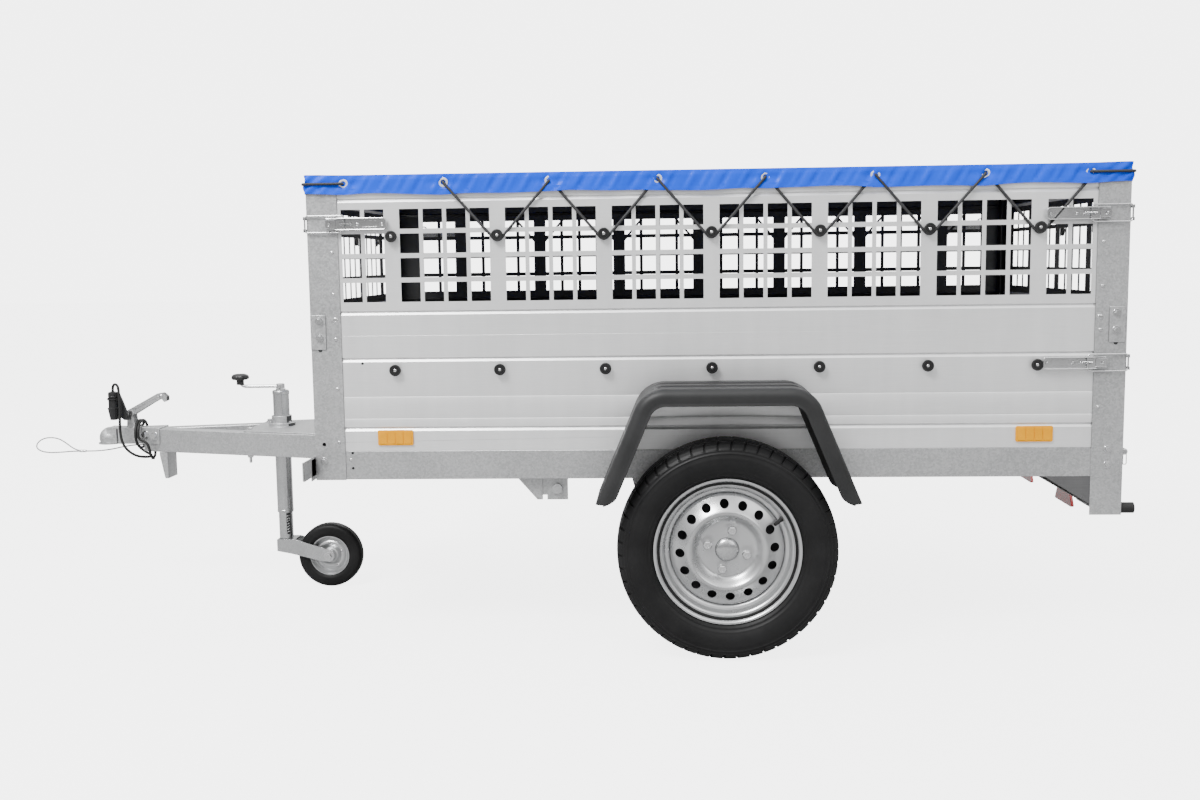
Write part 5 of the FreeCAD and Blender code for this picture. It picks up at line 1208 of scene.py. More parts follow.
def makeMudguard(side, recipe):
    low, high = boxOf("mudguard_" + side)
    middle = (low[0] + high[0]) / 2
    footHalf = (high[0] - low[0]) / 2
    foot, top = low[2], high[2]
    # the arch's side outline as a path with its inward direction
    lean = math.atan2(footHalf - recipe["topHalf"], top - foot)
    bend = math.pi / 2 - lean
    back = recipe["kneeRound"] * math.tan(bend / 2)
    corner = np.array([recipe["topHalf"], top])
    down = np.array([math.sin(lean), -math.cos(lean)])
    hub = corner - (back, 0) - (0, recipe["kneeRound"])
    turn = np.linspace(lean, math.pi / 2, 19)
    knee = hub + recipe["kneeRound"] * np.stack([np.cos(turn), np.sin(turn)], -1)
    share = np.array([0, 0.006, 0.014, 0.025, 0.04, 0.055, 0.075, 0.1, 0.13, 0.16, 0.3, 0.5, 0.75])
    leg = np.array([footHalf, foot]) + share[:, None] * (knee[0] - (footHalf, foot))
    # on the leg the section is level at the foot and turns square to the leg towards the knee
    slope = lean * share
    level = np.stack([-np.cos(slope), -np.sin(slope)], -1) / np.cos(lean - slope)[:, None]
    roof = np.stack([np.linspace(knee[-1, 0], 0, 12)[1:], np.full(11, top)], -1)
    right = np.vstack([leg, knee, roof])
    inward = np.vstack([level, -np.stack([np.cos(turn), np.sin(turn)], -1), np.repeat([(0, -1)], 11, 0)])
    # the skirts' lower inner corners are round
    up = np.minimum(share * np.linalg.norm(knee[0] - (footHalf, foot)), recipe["footRound"])
    cutBack = recipe["footRound"] - np.sqrt(recipe["footRound"] ** 2 - (recipe["footRound"] - up) ** 2)
    cutBack = np.concatenate([cutBack, np.zeros(30)])
    cutBack = np.concatenate([cutBack, cutBack[-2::-1]])
    path = np.vstack([right, (right * (-1, 1))[-2::-1]])
    inward = np.vstack([inward, (inward * (-1, 1))[-2::-1]])
    # section across the guard: (distance from the box, depth under the outline)
    width = high[1] - low[1]
    r, rib = recipe["corner"], recipe["rib"]
    quarter = np.radians(np.linspace(0, 90, 8))
    gap, bow = recipe["boxGap"], recipe["innerRound"]
    flange = [(gap, recipe["skirt"]), (gap, 0.03), (gap, 0.014)]
    inner = np.stack([gap + bow * (1 - np.cos(quarter)), rib + bow * (1 - np.sin(quarter))], -1)
    flat = [(at, rib) for at in np.linspace(0.015, width - r - 0.004, 90)]
    outer = np.stack([width - r + r * np.sin(quarter), rib + r * (1 - np.cos(quarter))], -1)
    skirt = [(width, rib + r + 0.008), (width, 0.036), (width, recipe["skirt"] - 0.005),
             (width + recipe["lip"], recipe["skirt"] - 0.002), (width + recipe["lip"], recipe["skirt"])]
    section = np.vstack([flange, inner, flat, outer, skirt])
    onRoof = np.clip((recipe["topHalf"] - 0.016 - np.abs(path[:, 0])) / 0.03, 0, 1)
    onRoof = onRoof ** 2 * (3 - 2 * onRoof)
    ribs = sum(np.clip((recipe["ribHalf"] + 0.004 - np.abs(section[:, 0] - at)) / 0.004, 0, 1)
               for at in recipe["ribs"])
    depth = section[None, :, 1] - rib * ribs[None] * onRoof[:, None]
    deepest = recipe["skirt"] - cutBack[:, None]
    depth = np.where(depth > 0.02, 0.02 + (depth - 0.02) * (deepest - 0.02) / (recipe["skirt"] - 0.02),
                     depth)
    x = middle + path[:, :1] + inward[:, :1] * depth
    z = path[:, 1:] + inward[:, 1:] * depth
    out = wheelOutward[side][1]
    inside = low[1] if out > 0 else high[1]
    y = np.broadcast_to(inside + out * section[None, :, 0], x.shape)
    guard = makePiece("wheelGuard_" + side, grid(np.stack([x, y, z], -1)),
                      "mudguardPlastic", "chassis",
                      ("mudguard_" + side,), sharp=50)
    wall = guard.modifiers.new("wall", "SOLIDIFY")
    wall.thickness = recipe["wall"]
    wall.offset = -1
    addBevel(guard, recipe["bevel"])


for sideName in ("left", "right"):
    makeMudguard(sideName, guardRecipe)
print("mudguards")


# Shapes made of a flat outline

def ribbon(path, across, thick):
    # a strip of sheet along a path: its width runs along "across", its thickness square to both
    path = np.asarray(path, float)
    across = np.asarray(across, float)
    side = unit(np.cross(unit(np.gradient(path, axis=0)), unit(across))) * thick / 2
    rows = np.stack([path - side, path + side, path + side + across, path - side + across], 1)
    first, last = (np.repeat(end.mean(1, keepdims=True), 4, 1) for end in (rows[:1], rows[-1:]))
    return grid(np.concatenate([first, rows, last]), closeColumns=True)


def coil(start, axis, radius, wire, turns, length):
    # helical spring: a circle round the axis that moves along it
    first, second = axesAcross(axis)
    angle = np.linspace(0, turns * 2 * math.pi, int(turns * 12) + 1)[:, None]
    path = (np.asarray(start) + radius * (np.cos(angle) * first + np.sin(angle) * second)
            + length * angle / angle[-1] * unit(axis))
    return tube(path, wire, 6, across=unit(axis) + 0.01)


def ring(place, axis, radius, wire):
    first, second = axesAcross(axis)
    angle = np.linspace(0, 2 * math.pi, 32, endpoint=False)[:, None]
    path = np.asarray(place) + radius * (np.cos(angle) * first + np.sin(angle) * second)
    return tube(path, wire, 8, across=unit(axis), closed=True)


# Over-centre latches: a channel handle on its bracket, a wire hoop round the post's edge, a catch

latchRecipe = {
    "start": 0.049, "long": 0.158, "high": 0.032, "deep": 0.0125, "sheet": 0.0016, "lift": 0.003,
    "hoopHalf": 0.0212, "hoopWire": 0.0022, "hoopFar": 0.097, "hoopRound": 0.01,
    "bracket": (0.027, 0.023), "screw": 0.005, "rivets": (0.083, 0.147), "spring": (0.037, 0.069),
    "catchHigh": 0.046, "catchWide": 0.03,
    # the post's outer edge and the latch's middle, from the ends of the solid's box
    "postInset": 0.0085, "middleInset": 0.0235,
}


def latchShapes(recipe, origin, inward, outward):
    # places are (u along the board, v out from it, w up) from the post's outer edge
    inward, outward, up = (np.asarray(axis, float) for axis in (inward, outward, upwards))
    across = np.cross(outward, inward)
    lift = np.sign(across[2])

    def at(u, v, w):
        u, v, w = np.broadcast_arrays(u, v, w)
        return np.asarray(origin) + u[..., None] * inward + v[..., None] * outward + w[..., None] * up

    start, end = recipe["start"], recipe["start"] + recipe["long"]
    half, deep, thick, base = recipe["high"] / 2, recipe["deep"], recipe["sheet"], recipe["lift"]
    shapes = [plate(at((start + end) / 2, base, 0), inward, across,
                    (recipe["long"], recipe["high"] - 0.002, thick), 0.006)]
    # the channel's rim goes along one side, round the closed end and back, lower at the bracket
    turnAngle = np.radians(np.linspace(-90, 90, 17))
    r = 0.007
    sideU = np.array([start + 0.004, start + 0.02, start + 0.034, end - r])
    u = end - r + r * np.cos(turnAngle)
    v = r * np.sin(turnAngle)
    loop = np.vstack([
        np.stack([sideU, np.full(4, -half + thick)], -1),
        np.stack([u[1:8], -half + thick + r + v[1:8]], -1),
        [(end, -half + thick + r), (end, half - thick - r)],
        np.stack([u[9:-1], half - thick - r + v[9:-1]], -1),
        np.stack([sideU[::-1], np.full(4, half - thick)], -1)])
    height = np.clip((loop[:, 0] - start) / 0.034, 0.45, 1) * deep
    path = at(loop[:, 0], base, loop[:, 1])
    shapes.append(ribbon(path, height[:, None] * outward, thick))
    # the rim's edge is rolled over to a bright bead
    shapes.append(tube(path + height[:, None] * outward, thick * 0.72, 8, across=outward))
    # bracket with its ears and pan-head screw
    wide, high = recipe["bracket"]
    seat = base + thick
    shapes.append(plate(at(start + 0.014, seat, 0), inward, across, (wide, high, 0.0016), 0.004))
    for w in (-high / 2, high / 2 - 0.0014):
        shapes.append(plate(at(start + 0.014, seat + 0.0065, w), inward, outward,
                            (wide, 0.013, 0.0014), 0.004))
    screw = [(0, 0), (recipe["screw"], 0), (recipe["screw"], 0.0012), (recipe["screw"] * 0.75, 0.0028),
             (0.0016, 0.0032), (0.0013, 0.0018), (0, 0.0018)]
    shapes.append(turned(screw, at(start + 0.01, seat + 0.0016, 0), outward, 20))
    for u in recipe["rivets"]:
        shapes.append(domeRivet(at(start + u, seat, 0), outward, 0.0052, 0.0026, 0.0016))
    # a pressed hollow between the rivets, shown by its raised border
    first, last = recipe["rivets"]
    middle = start + (first + last) / 2
    border = roundedCorners(at([middle - 0.022, middle + 0.022, middle + 0.022, middle - 0.022],
                               seat, [-0.0075, -0.0075, 0.0075, 0.0075]), 0.005, 5, closed=True)
    shapes.append(tube(border, 0.0007, 6, across=outward, closed=True))
    # spring with the link under it, round the hoop's pin
    a, b = recipe["spring"]
    shapes.append(coil(at(start + a, seat + 0.0042, 0.0), inward, 0.0036, 0.0008, 9, b - a))
    shapes.append(plate(at(start + (a + b) / 2, seat, -0.0075 * lift), inward, across,
                        (b - a + 0.01, 0.0045, 0.0022), 0.002))
    # hoop: a rectangle of wire with round corners that leans down on the post's edge
    far = start + recipe["hoopFar"] - 0.048
    w = recipe["hoopHalf"]
    corners = at([far, -0.0034, -0.0034, far], [seat + 0.005, 0.0052, 0.0052, seat + 0.005],
                 [w, w, -w, -w])
    shapes.append(tube(roundedCorners(corners, recipe["hoopRound"], 7, closed=True),
                       recipe["hoopWire"], 10, across=outward, closed=True))
    # catch on the post's end face: a plate with two claws over the hoop
    tall, broad = recipe["catchHigh"], recipe["catchWide"]
    shapes.append(plate(at(0.0, -0.02, 0), outward, up * np.sign(np.dot(np.cross(outward, up), -inward)),
                        (broad, tall, 0.0016), 0.004))
    for w in (-0.0155, 0.0155):
        claw = at(np.array([-0.0014, -0.0044, -0.0074, -0.0078, -0.006]),
                  np.array([-0.012, -0.01, -0.0035, 0.003, 0.0078]), w - 0.004)
        shapes.append(ribbon(roundedCorners(claw, 0.002, 4), 0.008 * up, 0.0015))
    return shapes


def makeLatches(recipe):
    low, high = boxOf("toggle_latches")
    frontEnd, rearEnd = low[0] + recipe["postInset"], high[0] - recipe["postInset"]
    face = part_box("upper_posts")[1][1]
    upper = high[2] - recipe["middleInset"]
    lower = low[2] + recipe["middleInset"]
    for name, origin, inward in (("frontLatches", (frontEnd, -face, upper), rearwards),
                                 ("rearLatches", (rearEnd, -face, upper), forwards),
                                 ("gateLatches", (rearEnd, -face, lower), forwards)):
        shape = together(latchShapes(recipe, origin, inward, outLeft))
        replaced = ("toggle_latches",) if name == "frontLatches" else ()
        makePiece(name, bothSides(shape), "latchZinc", "chassis", replaced, sharp=40)


makeLatches(latchRecipe)
print("latches")


# Rivets, bolts and splices on the corner posts

postFace = -0.5545
fastenerPlaces = {
    # (X, Z) on the left side's posts
    "rivets": [(-0.5725, 1.017), (-0.5725, 0.91), (-0.5705, 0.795), (-0.5705, 0.666),
               (-0.5715, 0.526), (1.3675, 1.018), (1.3675, 0.909), (1.3655, 0.8), (1.3655, 0.605)],
    "bigRivets": [(-0.5695, 0.844), (1.3645, 0.832)],
    "bolts": [(-0.6125, 0.478), (1.3915, 0.498), (1.3915, 0.458)],
    "spliceBolts": [(-0.6115, 0.842), (-0.6115, 0.799), (1.4035, 0.842), (1.4035, 0.799)],
    "smallHoles": [(-0.5375, 0.498), (-0.5375, 0.458), (-0.5035, 0.732)],
    "railRivets": [(-0.5425, 0.48)],
    # lower half of a hole that the splice's edge covers
    "notches": [(-0.6115, 0.7675), (1.4035, 0.7675)],
}


markerRecipe = {"x": -0.635, "thick": 0.0027, "y": (-0.552, -0.66), "z": (0.441, 0.491), "fold": 0.003}


def makeFasteners(places):
    def spots(name, face):
        return [(x, face, z) for x, z in places[name]]

    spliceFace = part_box("post_splices")[0][1]
    rivets = [domeRivet(place, outLeft, 0.0048, 0.0024) for place in spots("rivets", postFace)]
    rivets += [domeRivet(place, outLeft, 0.0072, 0.0016, 0.003) for place in spots("bigRivets", postFace)]
    rivets += [domeRivet(place, outLeft, 0.0045, 0.002) for place in spots("railRivets", boxLow[1])]
    bolts = [hexBolt(place, outLeft, 0.011, 0.0055, 0.0095) for place in spots("bolts", postFace)]
    bolts += [hexBolt(place, outLeft, 0.013, 0.0062, 0.0105)
              for place in spots("spliceBolts", spliceFace)]
    # the same bolts go through the splices' other leaves on the end faces
    for face, outward in ((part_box("post_splices")[0][0], forwards), (boxHigh[0] + 0.0005, rearwards)):
        bolts += [hexBolt((face, -0.524, z), outward, 0.013, 0.0062, 0.0105) for z in (0.842, 0.799)]
    makePiece("postRivets", bothSides(together(rivets)), "latchZinc", "chassis")
    makePiece("postBolts", bothSides(together(bolts)), "latchZinc", "chassis", sharp=25)
    # holes drilled through, in painted shade: a dark disc set in a thin countersunk rim
    dark = [turned([(0, -0.0002), (0.0032, -0.0002), (0.0036, 0.0002), (0, 0.00025)], place, outLeft, 20)
            for place in spots("smallHoles", boxLow[1] - 0.0002)]
    dark += [turned([(0, -0.0002), (0.0055, -0.0002), (0.0055, 0.0003), (0, 0.0003)], place, outLeft, 24)
             for place in spots("notches", postFace)]
    makePiece("boardHoles", bothSides(together(dark)), "rimShade", "chassis")


def makeMarkerPlates(recipe):
    # a plate across the front post's edge, its outer end folded to the rear
    (near, far), (low, high) = recipe["y"], recipe["z"]
    x, thick = recipe["x"], recipe["thick"]
    size = (near - far, high - low, thick)
    flat = plate((x, (near + far) / 2, (low + high) / 2), outLeft, upwards, size, 0.004)
    fold = plate((x - thick, far + thick, (low + high) / 2), rearwards, upwards,
                 (recipe["fold"] * 2, high - low, thick), 0.003)
    makePiece("markerPlates", bothSides(together([flat, fold])), "frameZinc", "chassis")


makeFasteners(fastenerPlaces)
makeMarkerPlates(markerRecipe)
print("fasteners")


# Reflectors and rear lamps

lensRecipe = {"panels": 4, "panelGap": 0.0022, "wide": 0.0925, "middleInset": 0.047}


def reflectorShapes(centre, along, across, size, recipe):
    # body plate, then raised panels side by side with fine ribs between them
    wide, high, thick = size
    outward = np.cross(along, across)
    shapes = [plate(centre, along, across, (wide, high, thick - 0.0014), 0.004)]
    count = recipe["panels"]
    step = (wide - 0.008) / count
    offsets = (np.arange(count) - (count - 1) / 2) * step
    for n, offset in enumerate(offsets):
        lift = thick - 0.0018 + (0.0 if n % 2 else 0.0004)
        shapes.append(plate(np.asarray(centre) + offset * unit(along) + lift * outward, along, across,
                            (step - recipe["panelGap"], high - 0.008, 0.0014), 0.0012))
    return shapes


def makeReflectors(recipe):
    low, high = boxOf("side_reflectors")
    thick = boxLow[1] - low[1]
    tall = high[2] - low[2]
    shapes = []
    for x in (low[0] + recipe["middleInset"], high[0] - recipe["middleInset"]):
        shapes += reflectorShapes(np.array([x, boxLow[1], (low[2] + high[2]) / 2]), rearwards, upwards,
                                  (recipe["wide"], tall, thick), recipe)
    makePiece("sideReflectors", bothSides(together(shapes)), "amberLens", "chassis",
              ("side_reflectors",))
    low, high = boxOf("front_reflectors")
    r = (high[2] - low[2]) / 2
    place = (high[0], low[1] + r, (low[2] + high[2]) / 2)
    thick = high[0] - low[0]
    profile = [(0, 0), (r, 0), (r, thick * 0.7), (r - 0.001, thick * 0.85), (r - 0.0025, thick * 0.7),
               (r - 0.003, thick * 0.9), (r * 0.5, thick), (0, thick)]
    makePiece("frontReflectors", bothSides(turned(profile, place, forwards, 40)),
              "whiteLens", "chassis", ("front_reflectors",))


lampRecipe = {"size": (0.21, 0.08), "barHigh": 0.06, "deep": 0.034, "middle": 0.4, "triangleSide": 0.15,
              "triangleY": 0.19, "triangleThick": 0.008,
              "panels": [("redLens", -0.062, 0.08), ("redLens", 0.01, 0.058),
                         ("amberLens", 0.071, 0.06)]}


def makeRearLamps(recipe):
    low, high = boxOf("rear_lamps")
    wide, tall = recipe["size"]
    deep = recipe["deep"]
    # the lamps stand at the middle of their bar
    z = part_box("lamp_bar")[0][2] + recipe["barHigh"] / 2
    face = low[0]
    body = plate((face, -recipe["middle"], z), (0, 1.0, 0), (0, 0, 1.0), (wide, tall, deep * 0.55), 0.01,
                 0.002)
    makePiece("lampHousings", bothSides(body), "knobPlastic", "chassis")
    for name in ("redLens", "amberLens"):
        lenses = []
        for lens, middle, width in recipe["panels"]:
            if lens == name:
                lenses.append(plate((face + deep * 0.5, -recipe["middle"] - middle, z), (0, 1.0, 0),
                                    (0, 0, 1.0), (width, tall - 0.006, deep * 0.5), 0.007, 0.003))
        replaced = ("rear_lamps",) if name == "redLens" else ()
        makePiece("rear" + name[0].upper() + name[1:], bothSides(together(lenses)), name,
                  "chassis", replaced)
    side = recipe["triangleSide"]
    foot = low[2]
    top = foot + side * math.sqrt(3) / 2
    y = -recipe["triangleY"]
    middle = np.array([y, (2 * foot + top) / 3])
    corners = np.array([(y - side / 2, foot), (y + side / 2, foot), (y, top)])
    # rings from the back's middle over the rim to the sunk lens: (size, height, cut of the corners)
    rows = []
    thick = recipe["triangleThick"]
    for size, height, cut in ((0.0, 0.0, 0.006), (1.0, 0.0, 0.008), (1.0, thick - 0.002, 0.008),
                              (0.985, thick, 0.008), (0.8, thick, 0.005), (0.79, thick - 0.0015, 0.005),
                              (0.0, thick - 0.0015, 0.004)):
        ringCorners = middle + (corners - middle) * max(size, 1e-4)
        flat = np.hstack([np.full((3, 1), face + height), ringCorners])
        rows.append(roundedCorners(flat, cut * max(size, 1e-4), 5, closed=True))
    makePiece("rearTriangles", bothSides(grid(np.array(rows), closeColumns=True)),
              "redLens", "chassis")


makeReflectors(lensRecipe)
makeRearLamps(lampRecipe)
print("reflectors and lamps")


# Jack: slotted outer tube, inner tube with its spindle's slot, bent crank and lobed knob

jackRecipe = {
    "slot": {"wide": 0.011, "high": 0.042, "rise": 0.034, "turn": -52.0},
    "innerSlot": {"wide": 0.013, "high": 0.072, "turn": -52.0, "rungs": 8},
    "bore": 0.0213, "crankRod": 0.005, "crankRound": 0.02, "lobes": 9, "lobeDeep": 0.075,
    "knob": [(0.0052, 0.0), (0.0095, 0.0), (0.0112, 0.0015), (0.011, 0.012), (0.0125, 0.015),
             (0.0215, 0.0158), (0.0256, 0.018), (0.027, 0.0212), (0.0268, 0.0245),
             (0.0245, 0.029), (0.0205, 0.0318), (0.015, 0.0334), (0.008, 0.034), (0, 0.0341)],
}
jackLow, jackHigh = boxOf("jack_outer_tube")
jackX = (jackLow[0] + jackHigh[0]) / 2
jackRadius = (jackHigh[0] - jackLow[0]) / 2


def tubeSide(turn, radius, height):
    # a place on the jack's tube: the turn is 0 to the rear and -90 towards the left side
    angle = math.radians(turn)
    outward = np.array([math.cos(angle), math.sin(angle), 0.0])
    return np.array([jackX, 0, height]) + radius * outward, outward


def stadium(centre, outward, wide, high, deep):
    # upright slot shape with half-round ends, deep along "outward"
    side = np.cross(upwards, outward)
    angle = np.radians(np.linspace(0, 180, 10))
    r = wide / 2
    top = np.stack([r * np.cos(angle), high / 2 - r + r * np.sin(angle)], -1)
    outline = np.vstack([top, -top])
    flat = centre + outline[:, :1] * side + outline[:, 1:] * np.array(upwards)
    hub = np.repeat(np.asarray(centre, float)[None], len(flat), 0)
    return grid(np.array([hub, flat, flat + deep * outward, hub + deep * outward]), closeColumns=True)


def makeJack(recipe):
    low, high, r = jackLow[2], jackHigh[2], jackRadius
    bore = recipe["bore"]
    wall = [(bore, low), (r - 0.0006, low), (r, low + 0.0006), (r, low + 0.004),
            (r + 0.0007, low + 0.005), (r + 0.0007, low + 0.007), (r, low + 0.008),
            (r, high - 0.012), (r + 0.0012, high - 0.011), (r + 0.0012, high - 0.003),
            (r - 0.001, high), (0, high), (0, high - 0.048), (bore, high - 0.048), (bore, low)]
    outer = makePiece("jackTube", turned(wall, (jackX, 0, 0), upwards, 72), "bareSteel",
                      "drawbar", ("jack_outer_tube",))
    slot = recipe["slot"]
    place, outward = tubeSide(slot["turn"], 0.012, low + slot["rise"])
    cutHoles(outer, stadium(place, outward, slot["wide"], slot["high"], 0.02))
    # the inner tube's slot, with a dark floor of painted shade and the spindle's thread across it
    innerLow, innerHigh = boxOf("jack_inner_tube")
    innerR = (innerHigh[0] - innerLow[0]) / 2
    core = [(0, innerLow[2]), (innerR, innerLow[2]), (innerR, innerHigh[2]), (0, innerHigh[2]),
            (0, innerLow[2])]
    inner = makePiece("jackInnerTube", turned(core, (jackX, 0, 0), upwards, 72), "bareSteel",
                      "jockey_leg", ("jack_inner_tube",))
    slot = recipe["innerSlot"]
    place, outward = tubeSide(slot["turn"], 0.0165, innerLow[2] + 0.012 + slot["high"] / 2)
    cutHoles(inner, stadium(place, outward, slot["wide"], slot["high"], 0.01))
    # painted shade: a dark inlay on the slot's floor
    inlay = stadium(place - outward * 0.0002, outward, slot["wide"] + 0.001, slot["high"] + 0.001, 0.0008)
    makePiece("spindleSlot", inlay, "rimShade", "jockey_leg")
    heights = place[2] + np.linspace(-0.4, 0.4, slot["rungs"]) * slot["high"]
    side = np.cross(upwards, outward)
    rungs = [tube([place + (0, 0, z - place[2]) + outward * 0.0016 - side * 0.0048,
                   place + (0, 0, z - place[2] + 0.0016) + outward * 0.002,
                   place + (0, 0, z - place[2] + 0.0032) + outward * 0.0016 + side * 0.0048],
                  0.0012, 6) for z in heights]
    makePiece("spindleThread", together(rungs), "bareSteel", "jockey_leg")
    # crank: a hub with its cross pin, then one bent rod
    gripLow, gripHigh = boxOf("jack_crank_knob")
    knobX = (gripLow[0] + gripHigh[0]) / 2
    armZ = high + 0.012
    hub = [(0, high), (0.0145, high), (0.0145, high + 0.0045), (0.0125, high + 0.006),
           (0.0125, high + 0.0185), (0.011, high + 0.02), (0, high + 0.02)]
    path = roundedCorners([(jackX, 0, armZ), (knobX, 0, armZ), (knobX, 0, gripLow[2] + 0.02)],
                          recipe["crankRound"], 10)
    pin = hexBolt((jackX, -0.0125, armZ), outLeft, 0.009, 0.0035, 0.0062)
    shapes = [turned(hub, (jackX, 0, 0), upwards, 40),
              tube(path, recipe["crankRod"], 14, across=sideways), pin]
    makePiece("jackCrank", together(shapes), "latchZinc", "drawbar", ("jack_crank",))
    points, faces = turned(recipe["knob"], (knobX, 0, gripLow[2]), upwards, 108)
    away = points[:, :2] - (knobX, 0)
    radius = np.hypot(away[:, 0], away[:, 1])
    lobes = 1 - recipe["lobeDeep"] * np.clip((radius - 0.013) / 0.01, 0, 1) * (
        0.5 + 0.5 * np.cos(recipe["lobes"] * np.arctan2(away[:, 1], away[:, 0])))
    points[:, :2] = (knobX, 0) + away * lobes[:, None]
    makePiece("crankKnob", (points, faces), "knobPlastic", "drawbar",
              ("jack_crank_knob",))


# Jockey wheel: rounded tyre, dished rim with rivets, nut on the fork's pin

jockeyRecipe = {
    # half sections (radius, distance from the wheel's middle), millimetres
    "tyre": [(59.6, 17), (60.2, 20.6), (63, 22.8), (67, 23.6), (68.2, 24.4), (72, 24.9), (80, 25),
             (86, 24.6), (91, 22.8), (95, 19.2), (97.4, 14), (98, 8), (98, 0)],
    "rim": [(6.1, 28), (10, 28), (10.6, 27.4), (15.5, 27.4), (16.6, 26.4), (17, 16), (18.5, 11.5),
            (23, 9.5), (28, 11), (34, 14.6), (38, 15.6), (42, 15.2), (46, 12), (49, 9), (51.5, 9.6),
            (54.4, 14), (56.6, 19.5), (58.6, 21.8), (60.4, 21.8), (60.4, 20), (58.4, 18), (56, 8),
            (55.6, 0)],
    "rivetRing": 0.0385, "rivets": 5,
}


def makeJockeyWheel(recipe):
    centre = sum(boxOf("jockey_tyre")) / 2
    for name, key, finish, slotName, node in (
            ("jockeyTyre", "tyre", "tyreRubber", "tyre_rubber", "jockey_tyre"),
            ("jockeyRim", "rim", "wheelSilver", "bare_steel", "jockey_rim")):
        half = np.array(recipe[key]) / 1000
        whole = np.vstack([half, (half * (1, -1))[-2::-1], half[:1]])
        makePiece(name, turned(whole, centre, sideways, 96), finish, "jockey_wheel", (node,))
    angles = np.radians(20 + 72 * np.arange(recipe["rivets"]))
    rivets = [domeRivet(centre + recipe["rivetRing"] * np.array([math.cos(a), 0, math.sin(a)])
                        + (0, -0.0154, 0), outLeft, 0.0036, 0.0018, 0.0008) for a in angles]
    makePiece("jockeyRivets", bothSides(together(rivets)), "latchZinc", "jockey_wheel")
    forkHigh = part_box("jockey_fork")[1]
    seat = -forkHigh[1] + 0.006
    nut = [(0, 0), (0.0105, 0), (0.0105, 0.007), (0.0092, 0.0082), (0.0052, 0.0082), (0.0052, 0.003),
           (0, 0.003)]
    washer = [(0, -0.0002), (0.0145, -0.0002), (0.0145, 0.0014), (0, 0.0014)]
    place = (centre[0], seat, centre[2])
    nuts = together([turned(washer, place, outLeft, 32), turned(nut, place, outLeft, 6)])
    makePiece("forkNuts", bothSides(nuts), "latchZinc", "jockey_fork", sharp=25)


# Drawbar and coupling: bolts, the lever's nut, cable clip, clips on the gate's hinges

drawbarRecipe = {
    "sideNormal": (-0.2725, -0.9622, 0.0),
    "couplingBolts": [(-1.3115, -0.0243, 0.477), (-1.2795, -0.0334, 0.474)],
    "gussetBolts": [(-0.962, -0.098), (-0.668, -0.184)],
    "flangeBolts": (35.0, -30.0, -150.0, 90.0),
    # lever's pressed border on each cheek: (along the lever, square to it)
    "leverLean": 28.0, "leverHalf": 0.0112,
    "leverBorder": [(0.014, -0.0055), (0.014, 0.005), (0.1, 0.0055), (0.1, -0.0045)],
    "leverRivet": (0.107, 0.0005),
    "foot": {"front": 0.024, "tip": 0.01, "rear": 0.014, "half": 0.0345, "sheet": 0.003},
    # (X, Z) of the gate's hinge pins
    "hingePin": (1.4385, 0.489),
}


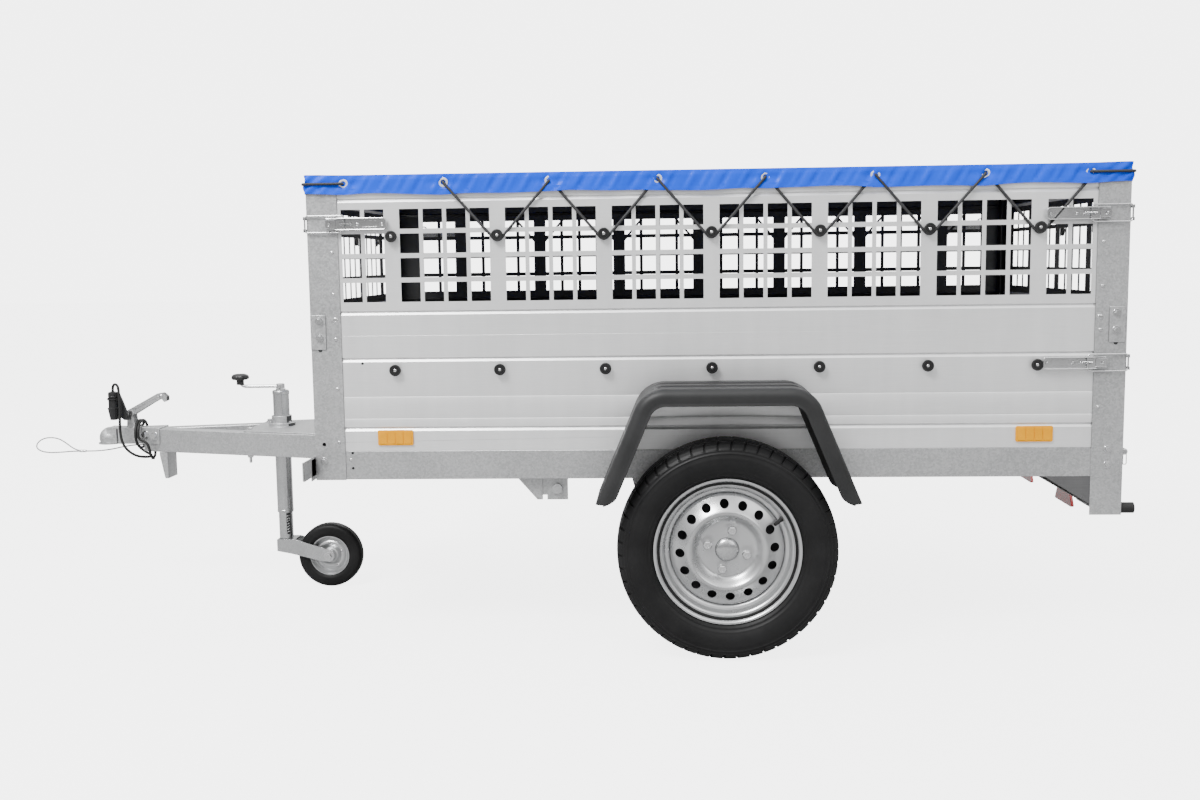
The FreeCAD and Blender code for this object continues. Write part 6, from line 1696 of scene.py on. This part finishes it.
def makeDrawbarFittings(recipe):
    outward = recipe["sideNormal"]
    bolts = [hexBolt(place, outward, 0.017, 0.0085, 0.0125) for place in recipe["couplingBolts"]]
    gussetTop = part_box("drawbar_left")[1][2] + 0.004
    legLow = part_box("drawbar_left")[0][2]
    for x, y in recipe["gussetBolts"]:
        bolts.append(hexBolt((x, y, gussetTop), upwards, 0.015, 0.0075, 0.0115))
        bolts.append(hexBolt((x, y, legLow), (0, 0, -1.0), 0.015, 0.0075, 0.0115))
        stud = [(0, 0.008), (0.0042, 0.008), (0.0042, 0.023), (0.0032, 0.0245), (0, 0.0245)]
        bolts.append(turned(stud, (x, y, legLow), (0, 0, -1.0), 16))
    shape = bothSides(together(bolts))
    radius, *turns = recipe["flangeBolts"]
    flangeBolts = [hexBolt((jackX + radius / 1000 * math.cos(math.radians(a)),
                            radius / 1000 * math.sin(math.radians(a)), gussetTop + 0.01),
                           upwards, 0.008, 0.005, 0.0052) for a in turns]
    makePiece("drawbarBolts", together([shape, *flangeBolts]), "latchZinc", "drawbar",
              sharp=25)
    # the lever's pin ends in a nut on each side of its tower
    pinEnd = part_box("coupling_lever")[1][1]
    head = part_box("coupling_head")
    pinX, pinZ = head[0][0] + 0.0455, head[1][2] - 0.008
    nut = turned([(0, -0.004), (0.0095, -0.004), (0.0095, 0.0), (0.008, 0.0012), (0, 0.0012)],
                 (pinX, -pinEnd - 0.0005, pinZ), outLeft, 6)
    makePiece("leverNuts", bothSides(nut), "latchZinc", "drawbar", sharp=25)
    lean = math.radians(recipe["leverLean"])
    along = np.array([math.cos(lean), 0, math.sin(lean)])
    square = np.array([-math.sin(lean), 0, math.cos(lean)])

    def onLever(u, w):
        return np.array([pinX, -recipe["leverHalf"], pinZ]) + u * along + w * square

    border = roundedCorners([onLever(u, w) for u, w in recipe["leverBorder"]], 0.004, 6, closed=True)
    marks = together([tube(border, 0.0011, 8, across=outLeft, closed=True),
                      domeRivet(onLever(*recipe["leverRivet"]), outLeft, 0.0062, 0.0022, 0.0022)])
    makePiece("leverMarks", bothSides(marks), "latchZinc", "drawbar")
    # parking foot: a channel open to the front, whose flanges narrow towards the ground
    foot = recipe["foot"]
    low, high = boxOf("parking_foot")
    rear = (low[0] + high[0]) / 2 + foot["rear"]
    tall = high[2] - low[2]
    y = foot["half"]
    plan = roundedCorners([(rear - foot["front"], -y, high[2]), (rear - foot["tip"], -y, high[2]),
                           (rear, -y, high[2]), (rear, y, high[2]), (rear - foot["tip"], y, high[2]),
                           (rear - foot["front"], y, high[2])], 0.004, 6)
    share = (plan[:, 0] - rear + foot["front"]) / (foot["front"] - foot["tip"])
    drop = tall * np.clip(share, 0.06, 1) ** 0.8
    channel = ribbon(plan, -drop[:, None] * np.array(upwards), foot["sheet"])
    makePiece("parkingFoot", channel, "frameZinc", "drawbar", ("parking_foot",),
              bevel=0.0008)
    # P-clip that holds the cable under the left leg
    place = np.array(cableRoute["toDrawbar"][-4]) + (0, 0.004, 0)
    band = ribbon(place + 0.0052 * np.stack([np.zeros(17), np.cos(np.linspace(-2.2, 2.2, 17)),
                                            -np.sin(np.linspace(-2.2, 2.2, 17))], -1) + (-0.005, 0, 0),
                  (0.01, 0, 0), 0.0012)
    makePiece("cableClip", band, "knobPlastic", "drawbar")
    # spring clips that hang from the ends of the gate's hinge pins
    x, z = recipe["hingePin"]
    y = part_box("gate_hinge_lugs")[0][1] + 0.0015
    loop = roundedCorners([(x - 0.0035, y, z + 0.006), (x + 0.0045, y, z + 0.006),
                           (x + 0.005, y, z - 0.032), (x - 0.004, y, z - 0.032)], 0.0035, 6, closed=True)
    clip = together([tube(loop, 0.0013, 8, across=sideways, closed=True),
                     ring((x, y, z), sideways, 0.0066, 0.0013)])
    makePiece("hingeClips", bothSides(clip), "latchZinc", "chassis")


makeJack(jackRecipe)
makeJockeyWheel(jockeyRecipe)
makeDrawbarFittings(drawbarRecipe)
print("jack, jockey wheel and drawbar fittings")
